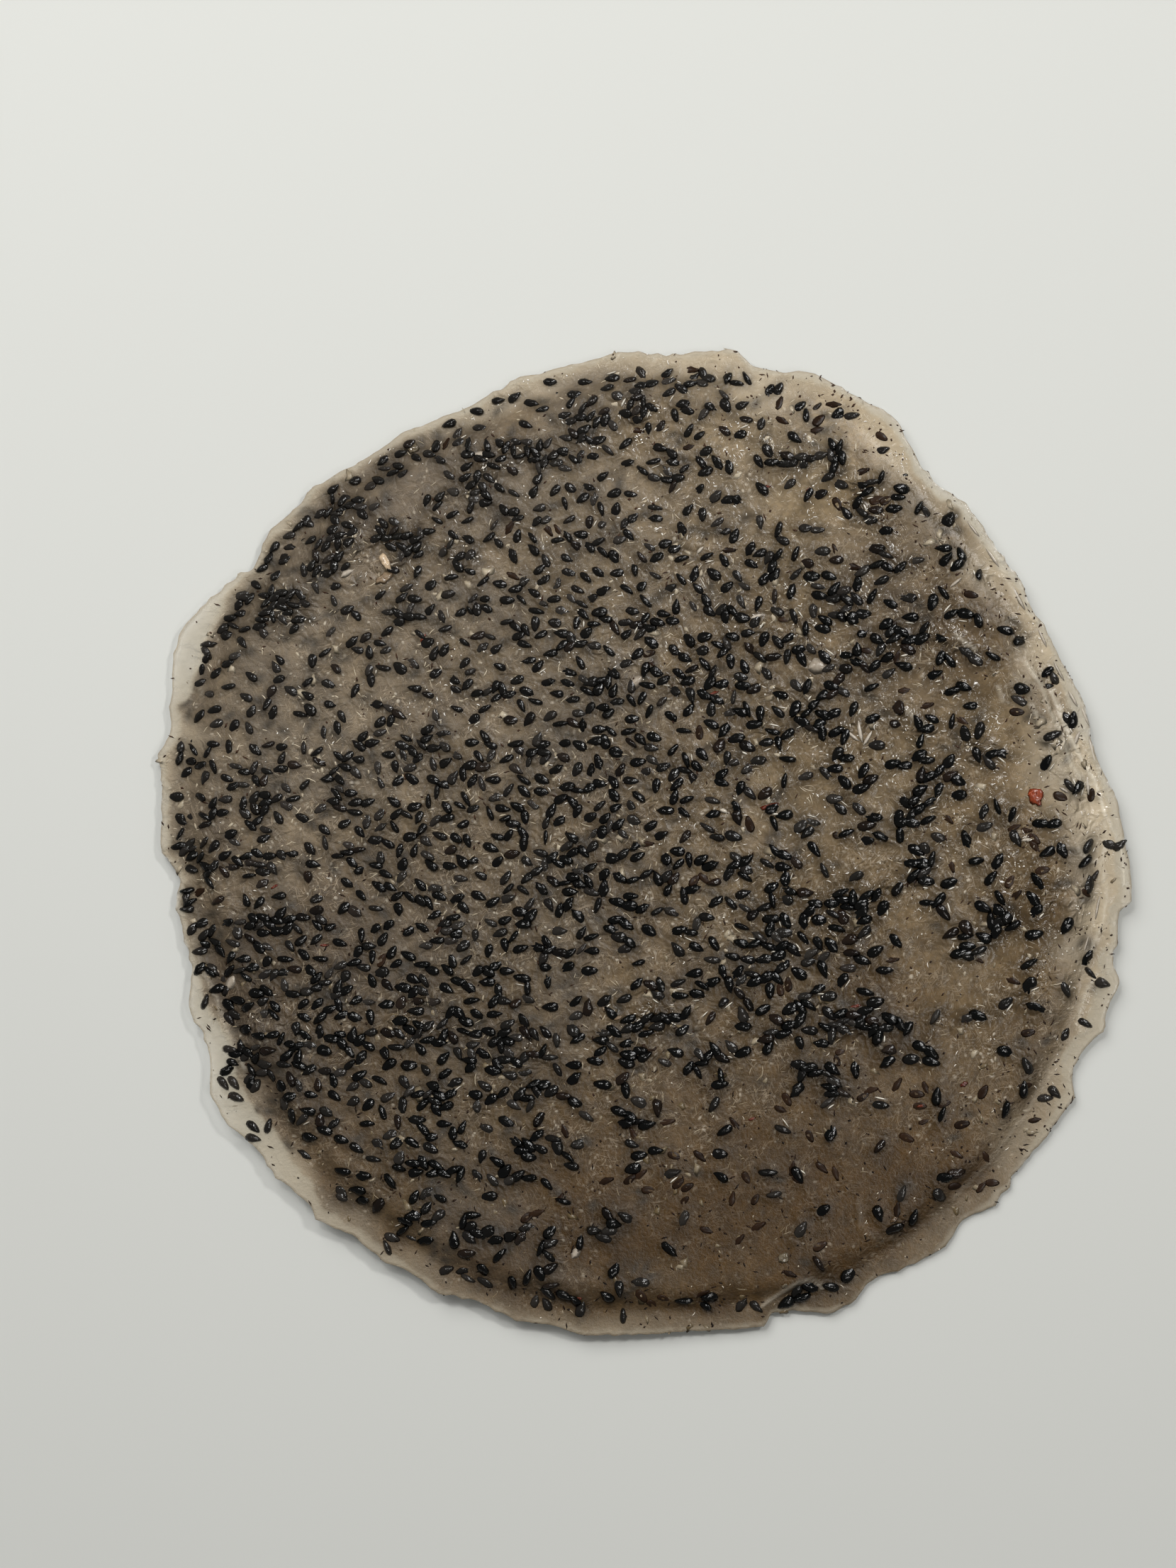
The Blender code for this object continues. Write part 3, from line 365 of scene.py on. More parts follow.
# Where the starch is paler or darker than its slope says: x, y, reach and how much.
TONE_SPOTS = (
    (-66, 62, 22, -0.16), (-46, 76, 14, -0.32), (75, -14, 26, 0.06), (-62, -36, 25, -0.17),
    (-90, -31, 14, -0.20), (-68, 14, 28, 0.20), (0, 26, 24, -0.12), (30, 46, 18, -0.10),
    (62, 44, 20, -0.36), (20, -76, 26, -0.10), (49, -32, 14, -0.27), (-50, 45, 18, 0.06),
    (33, 84, 18, 0.40), (31, 10, 11, 0.10), (2, -2, 13, 0.06), (72, -31, 11, 0.12),
    (88, -10, 10, -0.14), (10, -11, 11, 0.10), (-30, 89, 12, -0.22), (12, 91, 11, -0.14),
    (-50, 8, 13, 0.12), (-68, 8, 18, 0.13), (-90, 10, 9, 0.08), (75, 20, 14, 0.12),
    (55, -72, 20, -0.08), (52, 72, 14, -0.30), (-18, 50, 16, 0.14), (-30, 10, 14, 0.08),
    (50, 10, 11, 0.10), (30, -10, 11, 0.08), (10, 68, 12, 0.04), (0, 2, 14, 0.08),
    (-68, -12, 14, -0.10), (10, -88, 14, 0.06), (-10, -28, 13, 0.10), (-34, -48, 22, 0.16),
    (-52, 32, 13, 0.10), (30, 95, 10, 0.55), (-62, 66, 10, -0.08),
)


# --- small sums ------------------------------------------------------------------------------
RIM_MM = 1.8              # length of the rim for each degree
TONE_TILT = (0.50, -0.0003, 0.0050)    # see tilt
TONE_CLOUDS = ((0.10, 21.0, 5), (0.07, 8.0, 6))    # see patches
TONE_SHARE = 0.8
SPARKLE_CLOUD = (0.65, 0.9, 2.4, 18, 0.0, 1.0)     # see cloud


def ease(t):
    """0 to 1 with soft ends."""
    t = np.clip(t, 0.0, 1.0)
    return t * t * (3.0 - 2.0 * t)


def ramp(values, start, end):
    """0 at the start and 1 at the end, with soft ends."""
    return ease((values - start) / (end - start))


def bell(distance, width):
    return np.exp(-(distance / width) ** 2)


def spot(x, y, at_x, at_y, reach):
    """1 in the middle of a spot, and less the further off."""
    return bell(np.hypot(x - at_x, y - at_y), reach)


def tilt(x, y, middle, rise_x, rise_y):
    """What rises evenly over the sheet: its middle, and its rise for each mm of x and of y."""
    return middle + rise_x * x + rise_y * y


def round_table(table, angle, column=1):
    """Reads a table of values by angle round the rim, with straight steps between its rows."""
    rows = np.array(table, float)
    at = np.concatenate([rows[-1:, 0] - 360.0, rows[:, 0], rows[:1, 0] + 360.0])
    value = np.concatenate([rows[-1:, column], rows[:, column], rows[:1, column]])
    return np.interp(angle % 360.0, at, value)


def rim_radius(angle):
    """Radius of the torn rim at an angle."""
    corners = np.array(RIM_TEARS)
    first = corners[0, 0]
    angle = first + (angle - first) % 360.0
    tear = np.searchsorted(corners[:, 0], angle, side="right") - 1
    ends = np.vstack([corners[1:], corners[:1] + (360.0, 0.0, 0.0)])
    low, start, bow = corners[tear].T
    t = (angle - low) / (ends[tear, 0] - low)
    return start + (ends[tear, 1] - start) * t + 4.0 * bow * t * (1.0 - t)


def shore_radius(angle):
    """The rim with its tears evened out, which the film and the shoulder follow."""
    return sum(rim_radius(angle + offset) for offset in EVEN_OUT) / len(EVEN_OUT)


def film_edge(angle):
    """Radius of the film's inner edge, where the shoulder starts."""
    return shore_radius(angle) - round_table(FILM_WIDTHS, angle)


def beyond_rest(angle, radius):
    """How far a point lies outside the three-sided flat spot of the underside."""
    off_side = (angle - REST_TURN) % 120.0 - 60.0
    return np.maximum(0.0, radius * np.cos(np.radians(off_side)) - 0.5 * REST_REACH)


def underside(angle, radius):
    """Height of the underside: flat in the middle, curling up and waving towards the rim."""
    share = beyond_rest(angle, radius) / beyond_rest(angle, RIM_RADIUS)
    waves = sum(height * np.cos(np.radians(count * (angle - crest)))
                for count, height, crest in RIM_WAVES)
    return share * (LIFT_START + (1.0 - LIFT_START) * share) * (RIM_LIFT + waves)


def thickness(angle, radius):
    """Thickness of the sheet: film, a shoulder with a folded lip on it, then the body."""
    climb = (film_edge(angle) - radius) / SHOULDER_WIDTH
    lip = round_table(LIP_HEIGHTS, angle)
    lip = lip * np.maximum(0.0, 1.0 - np.abs(climb - LIP_CREST) / LIP_CREST)
    x, y = from_polar(angle, radius)
    swell = np.array([noise.noise(Vector(point) / SWELL_LENGTH)
                      for point in zip(x.tolist(), y.tolist(), [0.0] * len(x))])
    body = BODY_THICKNESS - FILM_THICKNESS + FACE_SWELL * swell
    return FILM_THICKNESS + ease(climb) * body + lip


def patchwork(x, y, size, number):
    """Soft random hills about size mm apart, from -1 to 1. Each number gives other hills."""
    side = 512
    hills = np.random.default_rng(number).uniform(-1.0, 1.0, (side, side))
    u, v = x / size + 200.3, y / size + 200.7
    i, j = np.floor(u).astype(int), np.floor(v).astype(int)
    s, t = ease(u - i), ease(v - j)
    i, j, i2, j2 = i % side, j % side, (i + 1) % side, (j + 1) % side
    low = hills[i, j] * (1 - s) + hills[i2, j] * s
    high = hills[i, j2] * (1 - s) + hills[i2, j2] * s
    return low * (1 - t) + high * t


def patches(x, y, rows):
    """Patchworks added up: for each its strength, its size and its number."""
    return sum(strength * patchwork(x, y, size, number) for strength, size, number in rows)


def cloud(x, y, middle, strength, size, number, least, most):
    """A patchwork about a middle, cut off at a least and a most."""
    return np.clip(middle + strength * patchwork(x, y, size, number), least, most)


def rim_patchwork(angle, size, number):
    """A patchwork along the rim, with its size in mm of rim."""
    return patchwork(angle * RIM_MM, 0 * angle, size, number)


def to_polar(x, y):
    return np.degrees(np.arctan2(y, x)), np.hypot(x, y)


def from_polar(angle, radius):
    return radius * np.cos(np.radians(angle)), radius * np.sin(np.radians(angle))


def bare_face(x, y):
    """Height of the face with no seeds in it."""
    angle, radius = to_polar(x, y)
    return underside(angle, radius) + thickness(angle, radius)


def run_distance(x, y, run):
    """Distance of points to a run of straight steps."""
    nearest = np.full(len(x), 1e9)
    for (ax, ay), (bx, by) in zip(run, run[1:]):
        dx, dy = bx - ax, by - ay
        t = np.clip(((x - ax) * dx + (y - ay) * dy) / (dx * dx + dy * dy), 0.0, 1.0)
        nearest = np.minimum(nearest, np.hypot(x - ax - t * dx, y - ay - t * dy))
    return nearest


def tone_at(x, y):
    """A level from 1 at the top to 0 at the lower right, with clouds and spots: the starch is
    drawn paler towards the top and darker towards the lower right.
    """
    slope = tilt(x, y, *TONE_TILT)
    for *place, more in TONE_SPOTS:
        slope = slope + more * spot(x, y, *place)
    return np.clip(TONE_SHARE * (slope + patches(x, y, TONE_CLOUDS)), 0.0, 1.0)


def sparkle_at(x, y):
    """How crumpled the wet face is, from 0 to 1."""
    level = np.zeros(len(x))
    for place in SPARKLE_SPOTS:
        level = np.maximum(level, spot(x, y, *place))
    return level * cloud(x, y, *SPARKLE_CLOUD)


# --- where the seeds lie ---------------------------------------------------------------------
CLUMP_TRIES = 3           # spots tried for each seed of a clump; the emptiest one wins
CLUMP_CORE = 0.52         # how near its middle they mostly lie
CLUMP_HEM = 0.4           # and how far past its ends and sides they may
CLUMP_MORE = 1.12         # seeds of a clump for each one counted, as some lie under others
CLUMP_ROOM = 4.1          # square mm of a clump for each of its seeds, at least
CLUMP_FREE = 0.5          # how many of its seeds lie as lone ones do
CLUMP_SWAY = 30.0         # how far the others stray from its heading
GAP_ALONG = 2.65          # what the seeds keep between their middles, along and across
GAP_ACROSS = 1.65
GAP_PUSH = 0.55           # how far a round pushes two that lie together; less further apart
GAP_ROUNDS = 4
GAP_SOFT = 0.05           # so that seeds in one place aren't pushed without end
RIM_GAP = 1.8             # and what they keep from the torn rim at the least
RIM_GAP_SPREAD = (0.8, 1.5)    # shares of the usual distance that a seed may keep
LONE_COUNT = 820          # seeds scattered between the clumps
LONE_GAP = 2.6
LONE_RIM_GAP = 3.0
FULL_WEIGHT = 4.0         # the weight at which every spot drawn is used
PAIR_SHARE = 0.30         # how many of the scattered ones have another one beside them
PAIR_STEP = (1.8, 2.5)    # how far apart they lie
PAIR_GAP = PAIR_STEP[0] - 0.01    # and what the second one keeps from all others
SEED_LENGTH = 3.8
SEED_WIDTH = 2.05
SEED_HEIGHT = 1.25
SIZE_MEAN = 0.98          # against the three above
SIZE_SPREAD = 0.05
SIZE_LIMIT = 1.8          # spreads by which a seed may be larger or smaller
SIZE_RISE = 0.0012        # how much larger for each mm towards the lower right
SIZE_MORE = (0.0005, 60.0)    # and for each mm to the right of the middle, up to so far
DEPTH_LEAN = 3.0          # the higher, the fewer lie deep
# How many of the scattered seeds lie in each part: x, y, reach and weight against 1 elsewhere.
LONE_WEIGHTS = (
    # hardly any where the seeds are told one by one
    (75, 38, 30, -1.3), (52, 78, 22, -1.15), (78, -10, 30, -1.3), (62, -50, 30, -1.05),
    (30, -84, 30, -0.95),
    # elsewhere by how thickly they lie
    (-10, 60, 26, 0.4), (-48, 8, 18, 2.2), (-58, -32, 20, 3.6), (-12, 28, 15, 3.0),
    (0, -45, 20, -0.1), (28, -28, 13, 2.2), (-30, 50, 15, 1.5), (-80, -32, 14, 1.8),
    (-50, -50, 13, 1.3), (0, 8, 22, 0.9), (25, 32, 20, 0.8), (18, -54, 18, -0.8),
    (-88, -2, 12, -0.8), (30, -8, 10, 0.5), (20, 50, 14, 1.4), (-72, 52, 14, -1.0),
    (-50, 12, 8, 1.2), (10, 70, 9, -0.7), (-52, 72, 8, -0.6), (-70, -9, 11, -1.6),
    (-70, 12, 9, -0.7), (-10, -12, 10, 0.4), (10, -30, 9, -0.3), (-10, -28, 9, -1.0),
    (30, 68, 9, -1.0), (-32, 70, 8, -0.8), (-50, 70, 10, -0.6), (-30, -72, 12, -0.7),
    (-2, -90, 14, -1.6), (-8, -70, 10, -1.0), (-30, -10, 9, 1.5), (10, -10, 9, -1.4),
    (-90, -10, 9, -0.6), (6, -68, 12, -0.8), (32, 10, 9, -1.4), (28, -70, 9, 0.35),
    (50, -8, 9, -0.4),
)
# What the seeds keep from the torn rim: angle and distance.
RIM_GAPS = (
    (0, 6.5), (10, 4.5), (25, 4.0), (45, 8.0), (62, 4.5), (80, 3.2), (100, 3.0), (122, 3.4),
    (140, 2.4), (150, 5.0), (162, 5.5), (172, 3.8), (183, 1.8), (190, 3.6), (205, 6.5),
    (215, 7.5), (235, 5.0), (270, 3.6), (285, 4.0), (300, 6.0), (320, 6.5), (345, 7.0),
)
SUNKEN_WEIGHTS = (
    (-60, 70, 30, 0.9), (-20, 88, 25, 0.8), (-80, 50, 20, 0.8), (-85, 0, 25, 0.7),
    (-60, -40, 25, 0.5), (60, -60, 40, -0.9), (20, -80, 30, -0.5), (75, 0, 35, -0.7),
    (60, 75, 25, -0.9),
)
KEPT_CLEAR = ((83.0, 9.7), (-55.0, 59.0), (-55.4, 56.0))    # the red skin and the golden husk
CLEAR_GAP = 4.0
# The ways that lone seeds lie: heading, spread and share of them.
HEADINGS = ((-5, 26, 0.34), (40, 20, 0.28), (-38, 20, 0.20), (90, 28, 0.18))


def draw_headings(count):
    """Headings of lone seeds: most lie along the way the batter was spread."""
    middles = np.array(HEADINGS)
    picked = draw.choice(len(middles), count, p=middles[:, 2])
    return middles[picked, 0] + middles[picked, 1] * draw.standard_normal(count)


def clumped_seeds():
    """x, y and heading of each seed in the clumps, each in the emptiest of the spots tried."""
    placed = np.empty((0, 2))
    headings = []
    for x, y, half_length, half_width, heading, count in SEED_CLUMPS:
        turn = math.radians(heading)
        wider = math.sqrt(max(1.0, CLUMP_ROOM * CLUMP_MORE * count
                              / (math.pi * half_length * half_width)))
        for _ in range(round(CLUMP_MORE * count)):
            along, across = CLUMP_CORE * draw.standard_normal((2, CLUMP_TRIES))
            along *= half_length * wider + CLUMP_HEM
            across *= half_width * wider + CLUMP_HEM
            tries = np.column_stack([
                x + along * math.cos(turn) - across * math.sin(turn),
                y + along * math.sin(turn) + across * math.cos(turn)])
            if len(placed):
                room = np.hypot(*(tries[:, None] - placed[None]).transpose(2, 0, 1)).min(axis=1)
                best = tries[np.argmax(room)]
            else:
                best = tries[0]
            placed = np.vstack([placed, best])
            headings.append(heading)
    headings = np.array(headings, float)
    free = draw.random(len(headings)) < CLUMP_FREE
    headings = np.where(free, draw_headings(len(headings)),
                        headings + CLUMP_SWAY * draw.standard_normal(len(headings)))
    return placed, headings


def scattered_seeds(taken, count, gap, weights):
    """Spots between those taken, drawn by weight, none closer than the gap."""
    spots = []
    taken = np.array(taken)
    while len(spots) < count:
        angle, radius = 360.0 * draw.random(), RIM_RADIUS * math.sqrt(draw.random())
        x, y = radius * math.cos(math.radians(angle)), radius * math.sin(math.radians(angle))
        weight = 1.0 + sum(more * math.exp(-((x - at_x) ** 2 + (y - at_y) ** 2) / reach ** 2)
                           for at_x, at_y, reach, more in weights)
        shore = rim_radius(np.array([angle]))[0] - LONE_RIM_GAP
        if draw.random() * FULL_WEIGHT > weight or radius > shore:
            continue
        if np.hypot(taken[:, 0] - x, taken[:, 1] - y).min() < gap:
            continue
        if min(math.hypot(at_x - x, at_y - y) for at_x, at_y in KEPT_CLEAR) < CLEAR_GAP:
            continue
        taken = np.vstack([taken, (x, y)])
        spots.append((x, y))
        if draw.random() < PAIR_SHARE:
            way, step = TAU * draw.random(), draw.uniform(*PAIR_STEP)
            x, y = x + step * math.cos(way), y + step * math.sin(way)
            if np.hypot(taken[:, 0] - x, taken[:, 1] - y).min() >= PAIR_GAP:
                taken = np.vstack([taken, (x, y)])
                spots.append((x, y))
    return np.array(spots[:count])


def off_rim(places):
    """Which places keep off the torn rim, some of them a little nearer than others."""
    angle, radius = to_polar(*places.T)
    keep = round_table(RIM_GAPS, angle) * draw.uniform(*RIM_GAP_SPREAD, len(places))
    return radius < rim_radius(angle) - keep


def push_apart(places, headings):
    """Moves the seeds off each other, more along their length, and back from the rim."""
    cos, sin = np.cos(np.radians(headings)), np.sin(np.radians(headings))
    for _ in range(GAP_ROUNDS):
        offset = places[:, None] - places[None]
        along = offset[..., 0] * cos + offset[..., 1] * sin
        across = offset[..., 1] * cos - offset[..., 0] * sin
        away = np.hypot(along / GAP_ALONG, across / GAP_ACROSS)
        away = 0.5 * (away + away.T)
        push = np.where(away < 1.0, GAP_PUSH * (1.0 - away), 0.0)
        push /= np.hypot(offset[..., 0], offset[..., 1]) + GAP_SOFT
        places = places + (offset * push[..., None]).sum(axis=1)
        angle, radius = to_polar(*places.T)
        inside = np.minimum(1.0, (rim_radius(angle) - RIM_GAP) / radius)
        places = places * inside[:, None]
    return places


def lay_sesame():
    """One row for each seed: x, y, heading, size, depth (0 on the face, 1 just under it)."""
    clumped, clump_headings = clumped_seeds()
    angle, radius, heading = np.array(RIM_SEEDS, float).T
    lone = np.vstack([LONE_SEEDS, np.column_stack([*from_polar(angle, radius), heading])])
    scattered = scattered_seeds(np.vstack([clumped, lone[:, :2]]), LONE_COUNT, LONE_GAP,
                                LONE_WEIGHTS)
    places = np.vstack([clumped, lone[:, :2], scattered])
    headings = np.concatenate([clump_headings, lone[:, 2], draw_headings(len(scattered))])
    stay = off_rim(places)
    stay[len(clumped):len(clumped) + len(lone)] = True
    places, headings = push_apart(places[stay], headings[stay]), headings[stay]
    headings = headings + 180.0 * (draw.random(len(places)) < 0.5)
    strays = draw.standard_normal(len(places)).clip(-SIZE_LIMIT, SIZE_LIMIT)
    size = SIZE_MEAN + SIZE_SPREAD * strays
    x, y = places.T
    size *= 1.0 + SIZE_RISE * (x - y) + SIZE_MORE[0] * x.clip(0.0, SIZE_MORE[1])
    depth = draw.random(len(places)) ** DEPTH_LEAN
    return np.column_stack([places, headings, size, depth])


# --- meshes ----------------------------------------------------------------------------------
RINGS = 136               # rings of the face's grid, and twice as many as the underside's
RING_CROWDING = 0.25      # how much closer than evenly they lie at the rim
# Shares of the way out where they start to follow the shore, the tears of the rim and its
# nicks, and over how much of the way they come to it.
SHORE_FROM, SHORE_OVER = 0.5, 0.42
TEARS_FROM, TEARS_OVER = 0.93, 0.07
NICKS_FROM = 0.99
FINE_NICKS, COARSE_NICKS = 0.16, 0.75  # their depth
FINE_WORK, COARSE_WORK = (1.3, 31), (3.6, 32)    # size and number of their patchworks
NICK_LEVEL = 0.35         # how far from 0 their patchwork is where a coarse one starts
EDGE_BULGE = 0.10         # how far the rounded edge of the film stands out
# What a seed does to the starch round it.
SEED_REACH = 6.0          # how far it marks the starch at all
SWELL_HEIGHT = 0.22       # how far the starch stands over a seed that breaks the face
SWELL_SINK = 0.35         # how much less over a seed just under it
SWELL_SIZE, SHADE_SIZE, COVER_SIZE = 1.35, 1.65, 1.05    # against the seed's own outline
SEED_SHADE = 0.46         # how much painted shade a seed lays on the starch under it
DEEP_SHADE = 0.12         # and how much more if it lies deep
CLUMP_SHADE = 0.08        # how much painted shade each seed lays on the starch some way round it
CLUMP_SHADE_REACH = 3.6
SHADE_RISE = 0.0016       # how much more painted shade for each mm to the right of the middle
SHADE_MOST = 0.92
# where the painted shade round the seeds is stronger, and how much more
SHADE_SPOT, SHADE_MORE = (-62.0, 66.0, 34.0), 0.25
# Patchworks in the sheet's surface: strength in mm, size in mm and number.
FACE_RELIEF = ((0.05, 5.0, 1), (0.045, 2.4, 2), (0.03, 1.3, 3))
UNDER_RELIEF = ((0.10, 3.0, 7), (0.06, 1.7, 8))
CRUMPLE_RELIEF, FILM_RELIEF = (0.16, 1.6, 14), (0.10, 3.1, 4)
LIFTED = 0.02             # how far each hill of the underside is lifted as a whole
CREASE_WIDTH = 0.7        # of a fold's painted highlight along its crest, against the fold
# How the starch looks from place to place.
RIM_WANDER = ((0.5, 2.6, 9), (0.3, 1.2, 10))    # of the clear band's inner side; see patches
CLEAR_EDGE = 1.1          # over how many mm the clear band starts
THIN_SWAY = (0.35, 9.0, 12)            # of how far in the paleness and its painted light reach; see patches
FROST_SIZE, FROST_NUMBER = 0.8, 33     # of the patchwork that breaks up the frost and its painted glints
FROST_STRENGTH, FROST_GAP = 2.2, 0.4   # how strongly it does, and how much it leaves bare
WET_TILT = (0.45, 0.006, 0.0025)       # see tilt
GREY_TILT = (0.25, -0.008, 0.005)
# Where it is greyer or less grey: how much, then x, y and reach.
GREY_SPOTS = ((-0.35, (20.0, 80.0, 30.0)), (0.45, (62.0, 40.0, 20.0)))
WET_CLOUDS, GREY_CLOUDS, GRAIN_CLOUDS = (0.25, 14.0, 13), (0.4, 12.0, 15), (0.5, 13.0, 21)
WET_LEAST = 0.08
DRY_BOTTOM, DRY_SHOULDER = 0.55, 0.75  # how much less wet the starch is there
BOTTOM_FROM, BOTTOM_TO = -30.0, -60.0  # along y
SHOULDER_MIDDLE, SHOULDER_WIDE = 3.5, 4.0    # from the film
CRUMPLE_WET = 0.9
GRAIN_LEAST, GRAIN_MIDDLE = 0.28, 0.85
GRAIN_RAMPS = ((0.62, -85.0, -25.0), (-0.18, 20.0, 70.0))    # how much more, from y to y
GRAIN_MORE, GRAIN_SPOT = 0.60, (-45.0, 0.0, 55.0)
# How thickly each kind of scrap lies, from place to place; see cloud.
SHRED_CLOUD = (0.7, 1.1, 5.0, 16, 0.05, 1.8)
FLAKE_CLOUD = (0.4, 1.4, 16.0, 20, 0.0, 1.6)
SPECK_CLOUD = (0.6, 0.6, 11.0, 17, 0.1, 1.3)
CRUMB_CLOUDS = ((0.25, 2.2, 1.7, 22, 0.0, 1.6), (0.0, 1.0, 4.0, 19, 0.0, 1.0))
CRUMB_WET = 1.3           # how many crumbs, near white for painted glints, the wet starch has, against the crumpled places
BARE_RISE = 1.6           # how fast the scraps grow fewer where the film is clear
RIM_SPECKS, BOTTOM_SPECKS = 2.0, 0.8   # how many more specks lie there
SPECK_RIM = (22.0, 12.0)  # from how near the rim to how near they grow more
SPECK_WAY, SPECK_SIDE = 20.0, (75.0, 55.0)    # and from how far off one way to how near it
SPECK_BOTTOM = (-40.0, -60.0)          # and from where to where along y
# What share of the face's levels the underside has, where it hasn't all of it.
UNDERSIDE_SHARES = {"wet": 0.3, "dark": 0.5, "crease": 0.0, "crumple": 0.0,
                    "shreds": 0.5, "specks": 0.5, "flakes": 0.3, "crumbs": 0.0}


def new_mesh(name, points, quads=(), triangles=()):
    """A mesh from points in mm and arrays of four and three corners."""
    quads, triangles = np.reshape(quads, (-1, 4)), np.reshape(triangles, (-1, 3))
    mesh = bpy.data.meshes.new(name)
    mesh.vertices.add(len(points))
    mesh.vertices.foreach_set("co", (np.asarray(points) * MM).astype(np.float32).ravel())
    corners = np.concatenate([quads.ravel(), triangles.ravel()]).astype(np.int32)
    mesh.loops.add(len(corners))
    mesh.loops.foreach_set("vertex_index", corners)
    starts = np.concatenate([4 * np.arange(len(quads)),
                             4 * len(quads) + 3 * np.arange(len(triangles))]).astype(np.int32)
    mesh.polygons.add(len(starts))
    mesh.polygons.foreach_set("loop_start", starts)
    mesh.update(calc_edges=True)
    mesh.validate()
    return mesh


def add_object(name, mesh):
    made = bpy.data.objects.new(name, mesh)
    bpy.context.scene.collection.objects.link(made)
    return made


def keep_value(mesh, name, values):
    """Stores one number, or three, for each point of a mesh."""
    values = np.asarray(values, np.float32)
    kind, key = ("FLOAT", "value") if values.ndim == 1 else ("FLOAT_VECTOR", "vector")
    mesh.attributes.new(name, kind, "POINT").data.foreach_set(key, values.ravel())


def disc_grid(rings):
    """A square grid wound into even rings: each point's share of the way out and its angle."""
    i, j = np.meshgrid(np.arange(-rings, rings + 1), np.arange(-rings, rings + 1), indexing="ij")
    share = np.maximum(np.abs(i), np.abs(j)) / rings
    with np.errstate(divide="ignore", invalid="ignore"):
        beside = 45.0 * j / i + 180.0 * (i < 0)
        upright = 90.0 * np.sign(j) - 45.0 * i / j
    angle = np.where(np.abs(i) >= np.abs(j), beside, upright)
    angle[rings, rings] = 0.0
    return share.ravel(), angle.ravel()


def grid_quads(rings, first=0):
    """The faces of a disc grid, turned to face up."""
    side = 2 * rings + 1
    index = first + np.arange(side * side).reshape(side, side)
    return np.stack([index[:-1, :-1], index[1:, :-1], index[1:, 1:], index[:-1, 1:]],
                    axis=-1).reshape(-1, 4)


def spread(share, angle):
    """Radius of a grid point: even rings inside, the torn rim outside."""
    shore = shore_radius(angle)
    radius = RIM_RADIUS * share * (1.0 + RING_CROWDING - RING_CROWDING * share)
    radius *= 1.0 + (shore / RIM_RADIUS - 1.0) * ease((share - SHORE_FROM) / SHORE_OVER)
    nicks = FINE_NICKS * rim_patchwork(angle, *FINE_WORK)
    nicks += COARSE_NICKS * (NICK_LEVEL - np.abs(rim_patchwork(angle, *COARSE_WORK)))
    nicks *= share > NICKS_FROM
    return radius + (rim_radius(angle) - shore) * ease((share - TEARS_FROM) / TEARS_OVER) + nicks


def seed_marks(x, y, seeds):
    """What seeds do to the face: the swell over each, the painted shade round it, and where it is.
    """
    order = np.argsort(x)
    sorted_x = x[order]
    swell, dark, cover = np.zeros((3, len(x)))
    for seed_x, seed_y, heading, size, depth in seeds:
        low, high = np.searchsorted(sorted_x, (seed_x - SEED_REACH, seed_x + SEED_REACH))
        near = order[low:high]
        near = near[np.abs(y[near] - seed_y) < SEED_REACH]
        dx, dy = x[near] - seed_x, y[near] - seed_y
        cos, sin = math.cos(math.radians(heading)), math.sin(math.radians(heading))
        along = (dx * cos + dy * sin) / (0.5 * SEED_LENGTH * size)
        across = (dy * cos - dx * sin) / (0.5 * SEED_WIDTH * size)
        away = np.hypot(along, across)
        over = (1.0 - SWELL_SINK * depth) * bell(away, SWELL_SIZE)
        swell[near] = np.maximum(swell[near], over)
        # painted shade: the seed's shadow and its dark body seen blurred through the starch
        shade = (SEED_SHADE + DEEP_SHADE * depth) * bell(away, SHADE_SIZE)
        shade = np.maximum(shade, CLUMP_SHADE * bell(np.hypot(dx, dy), CLUMP_SHADE_REACH))
        shade *= 1.0 + SHADE_RISE * max(0.0, seed_x)
        dark[near] += (1.0 - dark[near]) * shade
        cover[near] = np.maximum(cover[near], bell(away, COVER_SIZE))
    return swell, dark, cover


def fold_marks(x, y):
    """The folded edges of the film: how high they stand and how pale the painted highlight on
    their crests is.
    """
    height, crease = np.zeros((2, len(x)))
    for run, fold_height, width, paleness in FOLDS:
        away = run_distance(x, y, run)
        height = np.maximum(height, fold_height * bell(away, width))
        # the pale crest is a painted highlight
        crease = np.maximum(crease, paleness * bell(away, CREASE_WIDTH * width))
    return height, crease


def rim_levels(share, angle, x, y, to_rim):
    """Where the sheet is clear, where it is thin and painted paler with light, and how its torn
    edge looks, with a painted dark line and painted glints.
    """
    band = round_table(CLEAR_BANDS, angle) + patches(x, y, RIM_WANDER)
    clear = round_table(CLEAR_BANDS, angle, 2) * ease((band - to_rim) / CLEAR_EDGE)
    # the thin rim: paler starch, with painted light through it and over the shoulder's shade
    reach = round_table(RIM_PALENESS_AND_LIGHT, angle, 2)
    thin = ease((reach * (1.0 + patches(x, y, [THIN_SWAY])) - to_rim) / reach)
    # the ring at the torn edge: denser, and painted darker for the light its thick edge bends away
    edge_line = (share == 1.0).astype(float)
    # the frosted torn edge, whiter for the painted glints along it
    frost = edge_line * ease(FROST_STRENGTH
                             * rim_patchwork(angle, FROST_SIZE, FROST_NUMBER) - FROST_GAP)
    return {"clear": clear, "thin": thin * round_table(RIM_PALENESS_AND_LIGHT, angle),
            "edge_line": edge_line, "frost": frost * round_table(RIM_FROST_GLINT, angle)}


